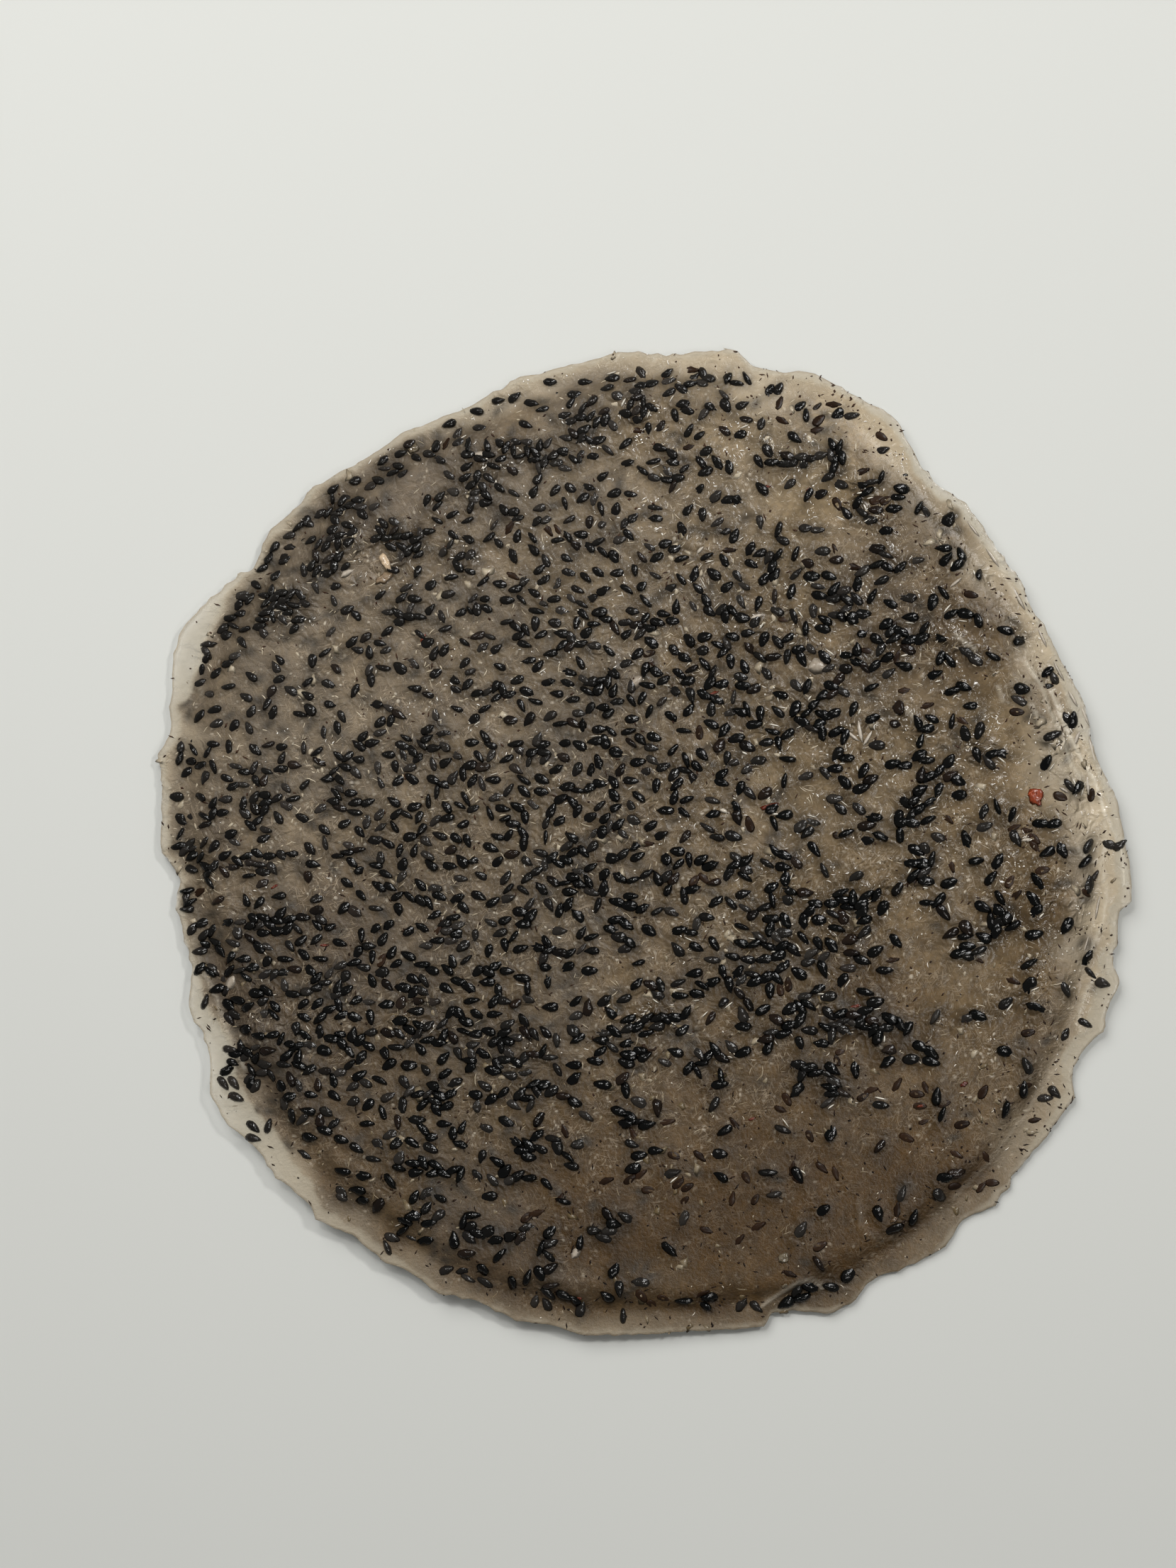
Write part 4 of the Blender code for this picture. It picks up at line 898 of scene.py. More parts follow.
def gel_levels(x, y, off_film, crumple):
    """How wet and how grey the starch is, and how coarse its grain."""
    wet = np.clip(tilt(x, y, *WET_TILT) + patches(x, y, [WET_CLOUDS]), WET_LEAST, 1.0)
    wet *= 1.0 - DRY_BOTTOM * ramp(y, BOTTOM_FROM, BOTTOM_TO)
    wet = np.maximum(wet, CRUMPLE_WET * crumple)
    wet *= 1.0 - DRY_SHOULDER * bell(off_film - SHOULDER_MIDDLE, SHOULDER_WIDE)
    grey = tilt(x, y, *GREY_TILT) + patches(x, y, [GREY_CLOUDS])
    for more, place in GREY_SPOTS:
        grey = grey + more * spot(x, y, *place)
    grain = GRAIN_LEAST + GRAIN_MORE * spot(x, y, *GRAIN_SPOT)
    for more, start, end in GRAIN_RAMPS:
        grain = grain + more * ramp(y, start, end)
    grain *= GRAIN_MIDDLE + patches(x, y, [GRAIN_CLOUDS])
    return {"wet": wet, "grey": np.clip(grey, 0.0, 1.0), "grain": grain}


def scrap_levels(x, y, angle, to_rim, levels):
    """How thickly scraps lie, kind by kind, against what strew is given for each."""
    opaque = 1.0 - ease(BARE_RISE * levels["clear"])
    shreds = opaque * cloud(x, y, *SHRED_CLOUD) * levels["grain"]
    fine, bunches = (cloud(x, y, *row) for row in CRUMB_CLOUDS)
    crumbs = opaque * np.maximum(levels["crumple"], CRUMB_WET * levels["wet"] * bunches) * fine
    off_way = np.abs((angle - SPECK_WAY + 180.0) % 360.0 - 180.0)
    at_rim = ramp(to_rim, *SPECK_RIM) * ramp(off_way, *SPECK_SIDE)
    specks = cloud(x, y, *SPECK_CLOUD) + RIM_SPECKS * at_rim
    specks += BOTTOM_SPECKS * ramp(y, *SPECK_BOTTOM)
    return {"shreds": shreds, "specks": specks, "flakes": opaque * cloud(x, y, *FLAKE_CLOUD),
            "crumbs": crumbs}


def close_sheet(share, angle, x, y, top, bottom):
    """The face, the underside and a rounded edge between them as one closed mesh. Gives what
    turns values on the face into values on every point of the mesh as well."""
    side = 2 * RINGS + 1
    lower = np.arange(side * side).reshape(side, side)[::2, ::2].ravel()
    rim = np.where(share == 1.0)[0]
    rim = rim[np.argsort(angle[rim] % 360.0)]
    lower_share, lower_angle = disc_grid(RINGS // 2)
    lower_rim = np.where(lower_share == 1.0)[0]
    lower_rim = lower_rim[np.argsort(lower_angle[lower_rim] % 360.0)] + len(x)
    radius = np.hypot(x[rim], y[rim])
    bulge = (radius + EDGE_BULGE) / radius
    middle = np.column_stack([x[rim] * bulge, y[rim] * bulge, 0.5 * (top[rim] + bottom[rim])])
    points = np.vstack([np.column_stack([x, y, top]),
                        np.column_stack([x, y, bottom])[lower], middle])

    first = len(x) + len(lower)
    ring, beyond = np.arange(len(rim)), (np.arange(len(rim)) + 1) % len(rim)
    upper_side = np.column_stack([rim, first + ring, first + beyond, rim[beyond]])
    half = np.arange(len(lower_rim))
    two, three = first + (2 * half + 1) % len(rim), first + (2 * half + 2) % len(rim)
    start, here, there = first + 2 * half, lower_rim, np.roll(lower_rim, -1)
    lower_side = np.vstack([np.column_stack([start, here, two]),
                            np.column_stack([two, here, there]),
                            np.column_stack([two, there, three])])
    quads = np.vstack([grid_quads(RINGS), grid_quads(RINGS // 2, len(x))[:, ::-1], upper_side])

    def everywhere(values, beneath):
        return np.concatenate([values, beneath * values[lower], values[rim]])
    return new_mesh("cracker_sheet", points, quads, lower_side), everywhere


def make_sheet(seeds, sunken):
    """The sheet, with what its finish and the scraps on it need to know of each point."""
    share, angle = disc_grid(RINGS)
    radius = spread(share, angle)
    x, y = from_polar(angle, radius)
    off_film = film_edge(angle) - radius
    to_rim = rim_radius(angle) - radius
    body = ease(off_film / SHOULDER_WIDTH)
    swell, dark, _ = seed_marks(x, y, seeds)
    _, _, blot = seed_marks(x, y, sunken)
    crumple = sparkle_at(x, y)
    folds, crease = fold_marks(x, y)

    relief = patches(x, y, FACE_RELIEF) + crumple * patches(x, y, [CRUMPLE_RELIEF])
    low = underside(angle, radius)
    top = low + thickness(angle, radius) + body * (SWELL_HEIGHT * swell + relief) + folds
    top += (1.0 - body) * patches(x, y, [FILM_RELIEF])
    lift = np.maximum(0.0, patches(x, y, UNDER_RELIEF))
    bottom = low + lift * body * (beyond_rest(angle, radius) > 0.0) + LIFTED * (lift > 0)
    mesh, everywhere = close_sheet(share, angle, x, y, top, bottom)
    mesh.shade_smooth()

    # the painted shade round the seeds, stronger at the upper left
    dark = np.clip(dark * (1.0 + SHADE_MORE * spot(x, y, *SHADE_SPOT)), 0.0, SHADE_MOST)
    levels = {"tone": tone_at(x, y), "dark": dark, "blot": blot, "crease": crease,
              "crumple": crumple}
    levels |= rim_levels(share, angle, x, y, to_rim)
    levels |= gel_levels(x, y, off_film, crumple)
    levels |= scrap_levels(x, y, angle, to_rim, levels)
    for name, values in levels.items():
        keep_value(mesh, name, everywhere(values, UNDERSIDE_SHARES.get(name, 1.0)))
    return add_object("cracker_sheet", mesh)


# --- shapes that repeat ----------------------------------------------------------------------
TINT_SEED = 77            # for the tints of what is strewn
SEED_AROUND = 12          # points round a seed
# A seed from below: the share of its outline and the share of its height, ring by ring.
SEED_RINGS = ((0.60, -0.40), (1.0, -0.02), (0.74, 0.34))


def seed_shape(name, width, height, crown, taper, crush):
    """A sesame seed: plump and round at one end, drawn to a blunt point at the other."""
    way = TAU * np.arange(SEED_AROUND) / SEED_AROUND
    point = np.cos(way)
    x = 0.5 * SEED_LENGTH * point
    y = 0.5 * SEED_WIDTH * width * np.sin(way) * (1.0 - taper * point)
    rows = []
    for outline, level in SEED_RINGS:
        z = np.full(SEED_AROUND, SEED_HEIGHT * height * level)
        rows.append(np.column_stack([outline * x, outline * y, z]))
    points = np.vstack([*rows, [(0, 0, -0.5 * SEED_HEIGHT * height)],
                        [(-0.1, 0, crown * SEED_HEIGHT * height)]])
    numbers = np.random.default_rng(int(100 * (width + height + crown)))
    points += crush * numbers.standard_normal(points.shape)
    quads, caps = [], []
    for ring in range(len(SEED_RINGS) - 1):
        for step in range(SEED_AROUND):
            after = (step + 1) % SEED_AROUND
            quads.append((ring * SEED_AROUND + step, ring * SEED_AROUND + after,
                          (ring + 1) * SEED_AROUND + after, (ring + 1) * SEED_AROUND + step))
    last = (len(SEED_RINGS) - 1) * SEED_AROUND
    bottom, top = len(points) - 2, len(points) - 1
    for step in range(SEED_AROUND):
        after = (step + 1) % SEED_AROUND
        caps += [(after, step, bottom), (last + step, last + after, top)]
    return new_mesh(name, points, quads, caps)


def sliver_shape(name, length, width, bend, height):
    """A bent sliver with pointed ends: grated coconut or a scrap of bran."""
    along = np.array([-0.5, -0.2, 0.2, 0.5]) * length
    girth = np.array([0.25, 1.0, 0.9, 0.2]) * 0.5 * width
    sag = bend * (1.0 - (2.0 * along / length) ** 2)
    points = []
    for x, half, side in zip(along, girth, sag):
        points += [(x, side - half, 0.0), (x, side, 0.5 * height * half / girth.max()),
                   (x, side + half, 0.0), (x, side, -0.5 * height * half / girth.max())]
    quads = [(4 * row + step, 4 * row + 4 + step, 4 * row + 4 + (step + 1) % 4,
              4 * row + (step + 1) % 4) for row in range(3) for step in range(4)]
    return new_mesh(name, points, quads + [(0, 1, 2, 3), (15, 14, 13, 12)])


def nugget_shape(name, length, width, lean, height):
    """An eight-sided scrap: a speck of bran or a crumb."""
    points = [(0.5 * length, lean, 0.0), (0.1 * length, 0.5 * width, 0.0),
              (-0.5 * length, -lean, 0.0), (-0.1 * length, -0.5 * width, 0.0),
              (lean, 0.0, 0.5 * height), (0.0, lean, -0.5 * height)]
    triangles = [(step, (step + 1) % 4, 4) for step in range(4)]
    triangles += [((step + 1) % 4, step, 5) for step in range(4)]
    return new_mesh(name, points, triangles=triangles)


def flake_shape(name, corners, ragged, seed, width, height):
    """A flake of coconut one unit long with a ragged outline."""
    way = TAU * np.arange(corners) / corners
    reach = 0.5 * (1.0 + ragged * np.random.default_rng(seed).uniform(-1.0, 1.0, corners))
    rim = np.column_stack([reach * np.cos(way), width * reach * np.sin(way), np.zeros(corners)])
    points = np.vstack([rim, [(0.0, 0.0, 0.5 * height)], [(0.0, 0.0, -0.5 * height)]])
    triangles = []
    for step in range(corners):
        after = (step + 1) % corners
        triangles += [(step, after, corners), (after, step, corners + 1)]
    return new_mesh(name, points, triangles=triangles)


def skin_shape(name, corners, ragged, seed):
    """A crumpled skin one unit long: a ragged outline and a buckled face inside it."""
    numbers = np.random.default_rng(seed)
    way = TAU * np.arange(corners) / corners
    rows = []
    for share, low, high in ((1.0, -0.1, 0.1), (0.62, 0.1, 0.6), (0.28, 0.0, 0.5)):
        reach = 0.5 * share * (1.0 + ragged * numbers.uniform(-1.0, 1.0, corners))
        rows.append(np.column_stack([reach * np.cos(way), reach * np.sin(way),
                                     numbers.uniform(low, high, corners)]))
    points = np.vstack([*rows, [(0.0, 0.0, 0.35)], [(0.0, 0.0, -0.3)]])
    triangles = []
    for step in range(corners):
        after = (step + 1) % corners
        for ring in (0, corners):
            triangles += [(ring + step, ring + after, ring + corners + step),
                          (ring + after, ring + corners + after, ring + corners + step)]
        triangles += [(2 * corners + step, 2 * corners + after, 3 * corners),
                      (after, step, 3 * corners + 1)]
    return new_mesh(name, points, triangles=triangles)


def shape_set(name, shape, rows, smooth=True, **settings):
    """A collection of shapes to pick from, outside the scene: one for each row."""
    shapes = bpy.data.collections.new(name)
    for number, row in enumerate(rows):
        mesh = shape(f"{name}_{number}", *row, **settings)
        if smooth:
            mesh.shade_smooth()
        shapes.objects.link(bpy.data.objects.new(f"{name}_{number}", mesh))
    return shapes


# Each row gives the sizes of one shape, in the order in which its function takes them.
sesame_shapes = shape_set("sesame", seed_shape, (
    (1.0, 1.0, 0.48, 0.22, 0.03), (0.88, 1.0, 0.50, 0.34, 0.03), (1.08, 0.9, 0.44, 0.16, 0.04),
    (0.96, 1.0, 0.30, 0.28, 0.10), (0.70, 1.25, 0.52, 0.20, 0.04), (0.92, 1.1, 0.54, 0.40, 0.04),
    (1.02, 0.85, 0.40, 0.10, 0.11)))
hull_shapes = shape_set("hull", seed_shape, ((0.95, 0.45, 0.05, 0.25, 0.04),
                                             (0.7, 0.4, 0.3, 0.25, 0.06)))
shred_shapes = shape_set("shred", sliver_shape, (
    (2.6, 0.26, 0.30), (1.9, 0.30, -0.12), (1.4, 0.34, 0.10), (1.0, 0.36, 0.0),
    (2.2, 0.22, 0.0), (0.8, 0.45, 0.05)), height=0.16)
crumb_shapes = shape_set("crumb", sliver_shape, (
    (0.9, 0.28, 0.12), (0.6, 0.34, 0.0), (1.3, 0.22, -0.15), (0.5, 0.4, 0.05)), height=0.3)
husk_shapes = shape_set("husk", sliver_shape, ((1.0, 1.0, 0.12), (1.0, 1.0, -0.08)), height=1.0)
speck_shapes = shape_set("speck", nugget_shape, (
    (0.9, 0.40, 0.05), (0.6, 0.44, 0.0), (0.5, 0.4, 0.03), (1.3, 0.32, 0.04)),
    smooth=False, height=0.22)
thin_shapes = shape_set("thin", flake_shape, (
    (7, 0.4, 10, 0.8), (8, 0.35, 11, 0.5), (6, 0.4, 12, 0.35), (9, 0.3, 13, 0.65)),
    smooth=False, height=0.07)
skin_shapes = shape_set("skin", skin_shape, ((13, 0.22, 3), (11, 0.3, 4), (12, 0.25, 8)),
                        smooth=False)


def add_node(tree, kind, inputs=None, **settings):
    """Adds a node with its settings; an input is a value, or a node and its output to link."""
    made = tree.nodes.new(kind)
    for name, value in settings.items():
        setattr(made, name, value)
    for socket, value in (inputs or {}).items():
        if isinstance(value, tuple) and isinstance(value[0], bpy.types.Node):
            tree.links.new(value[0].outputs[value[1]], made.inputs[socket])
        else:
            made.inputs[socket].default_value = value
    return made


def new_tree(name, **inputs):
    """A geometry tree with named inputs of the kinds told, and the node that gives them."""
    tree = bpy.data.node_groups.new(name, "GeometryNodeTree")
    tree.interface.new_socket("Geometry", in_out="OUTPUT", socket_type="NodeSocketGeometry")
    for label, kind in {"Geometry": "Geometry", **inputs}.items():
        tree.interface.new_socket(label, in_out="INPUT", socket_type=f"NodeSocket{kind}")
    return tree, add_node(tree, "NodeGroupInput")


def lay_shapes(tree, given, points, rotation, scale, **picked):
    """Lays one of the given shapes on each point."""
    shapes = add_node(tree, "GeometryNodeCollectionInfo",
                      {"Collection": (given, "Shapes"), "Separate Children": True,
                       "Reset Children": True})
    return add_node(tree, "GeometryNodeInstanceOnPoints",
                    {"Points": points, "Instance": (shapes, 0), "Pick Instance": True,
                     "Rotation": rotation, "Scale": scale, **picked})


def end_tree(tree, given, laid):
    """Makes what was laid real and gives it its finish."""
    real = add_node(tree, "GeometryNodeRealizeInstances", {0: (laid, 0)})
    done = add_node(tree, "GeometryNodeSetMaterial",
                    {0: (real, 0), "Material": (given, "Finish")})
    add_node(tree, "NodeGroupOutput", {0: (done, 0)})
    return tree


def lay_tree():
    """Lays a shape on each point, turned, sized and picked by the point's own values."""
    tree, given = new_tree("lay_on_points", Shapes="Collection", Scale="Float",
                           Finish="Material")
    kind, turn, size = (
        add_node(tree, "GeometryNodeInputNamedAttribute", {"Name": name}, data_type=data)
        for name, data in (("kind", "INT"), ("turn", "FLOAT_VECTOR"), ("size", "FLOAT_VECTOR")))
    rotation = add_node(tree, "FunctionNodeEulerToRotation", {0: (turn, 0)})
    scale = add_node(tree, "ShaderNodeVectorMath", {0: (size, 0), "Scale": (given, "Scale")},
                     operation="SCALE")
    laid = lay_shapes(tree, given, (given, "Geometry"), (rotation, 0), (scale, 0),
                      **{"Instance Index": (kind, 0)})
    return end_tree(tree, given, laid)


def strew_tree():
    """Strews shapes over a surface, flat on it, at random headings and sizes."""
    tree, given = new_tree("strew_on_surface", Shapes="Collection", Surface="Object",
                           Density="Float", Where="String", Smallest="Float", Largest="Float",
                           Lift="Float", Seed="Int", Finish="Material")
    surface = add_node(tree, "GeometryNodeObjectInfo", {"Object": (given, "Surface")})
    where = add_node(tree, "GeometryNodeInputNamedAttribute", {"Name": (given, "Where")},
                     data_type="FLOAT")
    density = add_node(tree, "ShaderNodeMath", {0: (where, 0), 1: (given, "Density")},
                       operation="MULTIPLY")
    spots = add_node(tree, "GeometryNodeDistributePointsOnFaces",
                     {"Mesh": (surface, "Geometry"), "Density": (density, 0),
                      "Seed": (given, "Seed")})
    raised = add_node(tree, "ShaderNodeVectorMath",
                      {0: (spots, "Normal"), "Scale": (given, "Lift")}, operation="SCALE")
    placed = add_node(tree, "GeometryNodeSetPosition",
                      {"Geometry": (spots, "Points"), "Offset": (raised, 0)})
    heading = add_node(tree, "FunctionNodeRandomValue",
                       {"Max": (0.0, 0.0, TAU), "Seed": (given, "Seed")},
                       data_type="FLOAT_VECTOR")
    spin = add_node(tree, "FunctionNodeEulerToRotation", {0: (heading, 0)})
    turned = add_node(tree, "FunctionNodeRotateRotation",
                      {0: (spots, "Rotation"), 1: (spin, 0)}, rotation_space="LOCAL")
    size = add_node(tree, "FunctionNodeRandomValue",
                    {2: (given, "Smallest"), 3: (given, "Largest"), "Seed": (given, "Seed")},
                    data_type="FLOAT")
    laid = lay_shapes(tree, given, (placed, 0), (turned, 0), (size, 1))
    tint = add_node(tree, "FunctionNodeRandomValue", {"Seed": TINT_SEED}, data_type="FLOAT")
    tinted = add_node(tree, "GeometryNodeStoreNamedAttribute",
                      {"Geometry": (laid, 0), "Name": "tint", "Value": (tint, 1)},
                      data_type="FLOAT", domain="INSTANCE")
    return end_tree(tree, given, tinted)


def grow(name, start, tree, values):
    """Runs a geometry tree on a mesh and keeps what it makes as a plain mesh."""
    made = add_object(name, start)
    modifier = made.modifiers.new(tree.name, "NODES")
    modifier.node_group = tree
    for item in tree.interface.items_tree:
        if item.in_out == "INPUT" and item.name in values:
            modifier[item.identifier] = values[item.name]
    bpy.context.view_layer.update()
    graph = bpy.context.evaluated_depsgraph_get()
    mesh = bpy.data.meshes.new_from_object(made.evaluated_get(graph))
    made.modifiers.clear()
    made.data = mesh
    mesh.name = name
    return made


def points_mesh(name, places, turns, sizes, kinds, **values):
    """Bare points that carry how the shape on each of them is turned, sized and picked."""
    mesh = new_mesh(name, places)
    keep_value(mesh, "turn", turns)
    keep_value(mesh, "size", sizes)
    mesh.attributes.new("kind", "INT", "POINT").data.foreach_set(
        "value", np.asarray(kinds, np.int32))
    for key, value in values.items():
        keep_value(mesh, key, value)
    return mesh


# --- finishes --------------------------------------------------------------------------------
def hex_color(code):
    """An sRGB hex colour as linear numbers."""
    parts = [int(code[at:at + 2], 16) / 255.0 for at in (1, 3, 5)]
    return tuple(p / 12.92 if p <= 0.04045 else ((p + 0.055) / 1.055) ** 2.4
                 for p in parts) + (1.0,)


def new_finish(name):
    """An empty material: its tree and the shader that fills it."""
    material = bpy.data.materials.new(name)
    material.use_nodes = True
    tree = material.node_tree
    shader = tree.nodes["Principled BSDF"]
    return material, tree, shader


def per_mm(size):
    """The scale of a pattern whose marks lie this many mm apart."""
    return 1.0 / (size * MM)


# Grated coconut drawn out in the starch: heading of its threads, their width and length in mm.
THREAD_WAYS = ((8.0, 0.30, 2.4), (55.0, 0.28, 1.9), (112.0, 0.30, 2.2))
# How far each pattern darkens and lightens the gel.
GEL_SHADES = (("clouds", 0.78, 1.18), ("lumps", 0.84, 1.18), ("pits", 0.85, 1.15))
# From the gel up: what lies in it, the pale thin rim with painted light, the painted shade of
# the seeds, then the film, its edge with a painted dark line, and painted highlights on the
# crests of its folds and along its frosted torn edge.
STARCH_COLORS = (
    ("stains", 0.42, "#3a2c1a"), ("grey", 0.45, "#686159"), ("threads", 0.55, "#a0907a"),
    ("flecks", 1.0, "#cabfac"), ("thin", 0.90, "#b8aa92"), ("dark", 1.0, "#1c150b"),
    ("blot", 0.80, "#2c2822"), ("clear", 1.0, "#cfc5af"), ("edge_line", 0.42, "#8a7a62"),
    ("crease", 0.6, "#d8d0bf"), ("frost", 0.8, "#e4e0d6"),
)
STARCH_LEVELS = ("clear", "thin", "edge_line", "frost", "wet", "tone", "dark", "blot", "crease",
                 "grey", "crumple", "grain")


def coconut_threads(tree, bent):
    """Short threads of grated coconut that lie three ways."""
    threads = None
    for heading, across, along in THREAD_WAYS:
        laid = add_node(tree, "ShaderNodeMapping",
                        {"Vector": bent, "Rotation": (0.0, 0.0, math.radians(heading)),
                         "Scale": (along * MM, across * MM, MM)}, vector_type="TEXTURE")
        grain = add_node(tree, "ShaderNodeTexNoise",
                         {"Vector": (laid, 0), "Scale": 1.0, "Detail": 1.0})
        lines = add_node(tree, "ShaderNodeMapRange",
                         {"Value": (grain, "Fac"), "From Min": 0.59, "From Max": 0.67})
        if threads:
            lines = add_node(tree, "ShaderNodeMath", {0: (threads, 0), 1: (lines, 0)},
                             operation="MAXIMUM")
        threads = lines
    return threads


def starch_patterns(tree, at, grain):
    """What the gel shows close up: its clouds, lumps, pits, stains and scraps of coconut."""
    bends = add_node(tree, "ShaderNodeTexNoise",
                     {"Vector": at, "Scale": per_mm(5.0), "Detail": 1.0})
    pushed = add_node(tree, "ShaderNodeVectorMath",
                      {0: (bends, "Color"), "Scale": 3.0 * MM}, operation="SCALE")
    bent = (add_node(tree, "ShaderNodeVectorMath", {0: at, 1: (pushed, 0)},
                     operation="ADD"), 0)
    cells = add_node(tree, "ShaderNodeTexVoronoi",
                     {"Vector": bent, "Scale": per_mm(1.5)}, feature="F1")
    dots = add_node(tree, "ShaderNodeMapRange",
                    {"Value": (cells, "Distance"), "From Min": 0.30, "From Max": 0.12})
    flecks = add_node(tree, "ShaderNodeMath", {0: (dots, 0), 1: (cells, "Color")},
                      operation="MULTIPLY")
    pits, clouds, lumps, wrinkles, bunches = (
        add_node(tree, "ShaderNodeTexNoise", {"Vector": where, "Scale": per_mm(size), **more})
        for where, size, more in (
            (at, 0.7, {"Detail": 2.0, "Roughness": 0.7}),
            (at, 7.0, {"Detail": 3.0, "Roughness": 0.55}),
            (bent, 2.2, {"Detail": 1.0}), (bent, 1.8, {"Detail": 0.0, "Distortion": 0.8}),
            (bent, 4.2, {"Detail": 1.0})))
    stains = add_node(tree, "ShaderNodeMapRange",
                      {"Value": (bends, "Fac"), "From Min": 0.54, "From Max": 0.70})
    bunched = add_node(tree, "ShaderNodeMapRange",
                       {"Value": (bunches, "Fac"), "From Min": 0.40, "From Max": 0.60,
                        "To Min": 0.15, "To Max": 1.0})
    bunched = add_node(tree, "ShaderNodeMath", {0: (bunched, 0), 1: grain},
                       operation="MULTIPLY")
    threads, flecks = (add_node(tree, "ShaderNodeMath", {0: (part, 0), 1: (bunched, 0)},
                                operation="MULTIPLY")
                       for part in (coconut_threads(tree, bent), flecks))
    return {"clouds": (clouds, "Fac"), "lumps": (lumps, "Fac"), "pits": (pits, "Fac"),
            "wrinkles": (wrinkles, "Fac"), "stains": (stains, 0), "threads": (threads, 0),
            "flecks": (flecks, 0)}


def starch_color(tree, look):
    """The gel's own colour, and on it all that lies in it or over it, with painted shade round
    the seeds, painted light at the thin rim and painted highlights at its folds and torn edge.
    """
    body = add_node(tree, "ShaderNodeMix",
                    {0: look["tone"], 6: hex_color("#3f2c11"), 7: hex_color("#8b7a60")},
                    data_type="RGBA")
    color = (body, 2)
    for name, low, high in GEL_SHADES:
        shade = add_node(tree, "ShaderNodeMapRange",
                         {"Value": look[name], "From Min": 0.32, "From Max": 0.68,
                          "To Min": low, "To Max": high})
        color = (add_node(tree, "ShaderNodeVectorMath", {0: color, "Scale": (shade, 0)},
                          operation="SCALE"), 0)
    for name, strength, code in STARCH_COLORS:
        part = add_node(tree, "ShaderNodeMath", {0: look[name], 1: strength},
                        operation="MULTIPLY")
        color = (add_node(tree, "ShaderNodeMix",
                          {0: (part, 0), 6: color, 7: hex_color(code)}, data_type="RGBA"), 2)
    return color


def starch_alpha(tree, look):
    """How much the sheet hides: all in the body, little in the film, more at its edges."""
    alpha = add_node(tree, "ShaderNodeMath", {0: look["clear"], 1: -0.76, 2: 1.0},
                     operation="MULTIPLY_ADD")
    for name, strength in (("edge_line", 0.70), ("crease", 0.8), ("frost", 0.9)):
        part = add_node(tree, "ShaderNodeMath", {0: look[name], 1: strength},
                        operation="MULTIPLY")
        alpha = add_node(tree, "ShaderNodeMath", {0: (alpha, 0), 1: (part, 0)},
                         operation="MAXIMUM")
    return alpha


def starch_relief(tree, look):
    """Felted where it is dry, and wrinkled where it is drawn up round seeds or crumpled."""
    felted = add_node(tree, "ShaderNodeMapRange",
                      {"Value": look["wet"], "To Min": 0.9, "To Max": 0.10})
    height = (add_node(tree, "ShaderNodeMath", {0: look["pits"], 1: (felted, 0)},
                       operation="MULTIPLY"), 0)
    folds = look["grain"]
    for name, strength in (("dark", 3.0), ("crumple", 4.5)):
        folds = (add_node(tree, "ShaderNodeMath", {0: look[name], 1: strength, 2: folds},
                          operation="MULTIPLY_ADD"), 0)
    for name, strength in (("threads", 0.3), ("flecks", 0.5), ("wrinkles", folds)):
        height = (add_node(tree, "ShaderNodeMath", {0: look[name], 1: strength, 2: height},
                           operation="MULTIPLY_ADD"), 0)
    return add_node(tree, "ShaderNodeBump",
                    {"Height": height, "Strength": 0.8, "Distance": 0.30 * MM})


def starch_finish():
    """Dried rice starch with grated coconut in it: a cloudy taupe gel, full of short pale
    threads and flecks, wet-looking towards the right and felted at the left, with painted shade
    round the seeds and painted light where it thins at the rim. Where it thins to a film it is
    nearly clear, with a fine dark edge, partly painted shade, that is frosted where it has torn;
    that frost and the pale crests of its folds carry painted glints."""
    material, tree, shader = new_finish("dried_rice_starch")
    place = add_node(tree, "ShaderNodeTexCoord")
    look = {name: (add_node(tree, "ShaderNodeAttribute", attribute_name=name), "Fac")
            for name in STARCH_LEVELS}
    look |= starch_patterns(tree, (place, "Object"), look["grain"])
    gloss = add_node(tree, "ShaderNodeMapRange",
                     {"Value": look["wet"], "To Min": 0.50, "To Max": 0.15})
    for (made, output), socket in (
            (starch_color(tree, look), "Base Color"), ((starch_alpha(tree, look), 0), "Alpha"),
            ((gloss, 0), "Roughness"), ((starch_relief(tree, look), 0), "Normal")):
        tree.links.new(made.outputs[output], shader.inputs[socket])
    shader.inputs["IOR"].default_value = 1.5
    shader.inputs["Specular IOR Level"].default_value = 0.30
    return material


def sesame_finish():
    """Black sesame hull: a black skin, finely wrinkled, that is dull except for small wet
    glints. A seed under the starch looks grey and soft, and a few hulls are dark brown."""
    material, tree, shader = new_finish("black_sesame_hull")
    place = add_node(tree, "ShaderNodeTexCoord")
    haze = add_node(tree, "ShaderNodeAttribute", attribute_name="haze")
    brown = add_node(tree, "ShaderNodeAttribute", attribute_name="brown")
    pits = add_node(tree, "ShaderNodeTexNoise",
                    {"Vector": (place, "Object"), "Scale": per_mm(0.55), "Detail": 2.0})
    skin = add_node(tree, "ShaderNodeMix",
                    {0: (pits, "Fac"), 6: hex_color("#010101"), 7: hex_color("#050606")},
                    data_type="RGBA")
    color = (skin, 2)
    for share, code in ((brown, "#1d140e"), (haze, "#332f2b")):
        color = (add_node(tree, "ShaderNodeMix",
                          {0: (share, "Fac"), 6: color, 7: hex_color(code)},
                          data_type="RGBA"), 2)
    tree.links.new(color[0].outputs[2], shader.inputs["Base Color"])
    bump = add_node(tree, "ShaderNodeBump", {"Height": (pits, "Fac"), "Strength": 0.5,
                                             "Distance": 0.18 * MM})
    tree.links.new(bump.outputs[0], shader.inputs["Normal"])
    shader.inputs["Roughness"].default_value = 0.13
    shader.inputs["Specular IOR Level"].default_value = 0.32
    return material


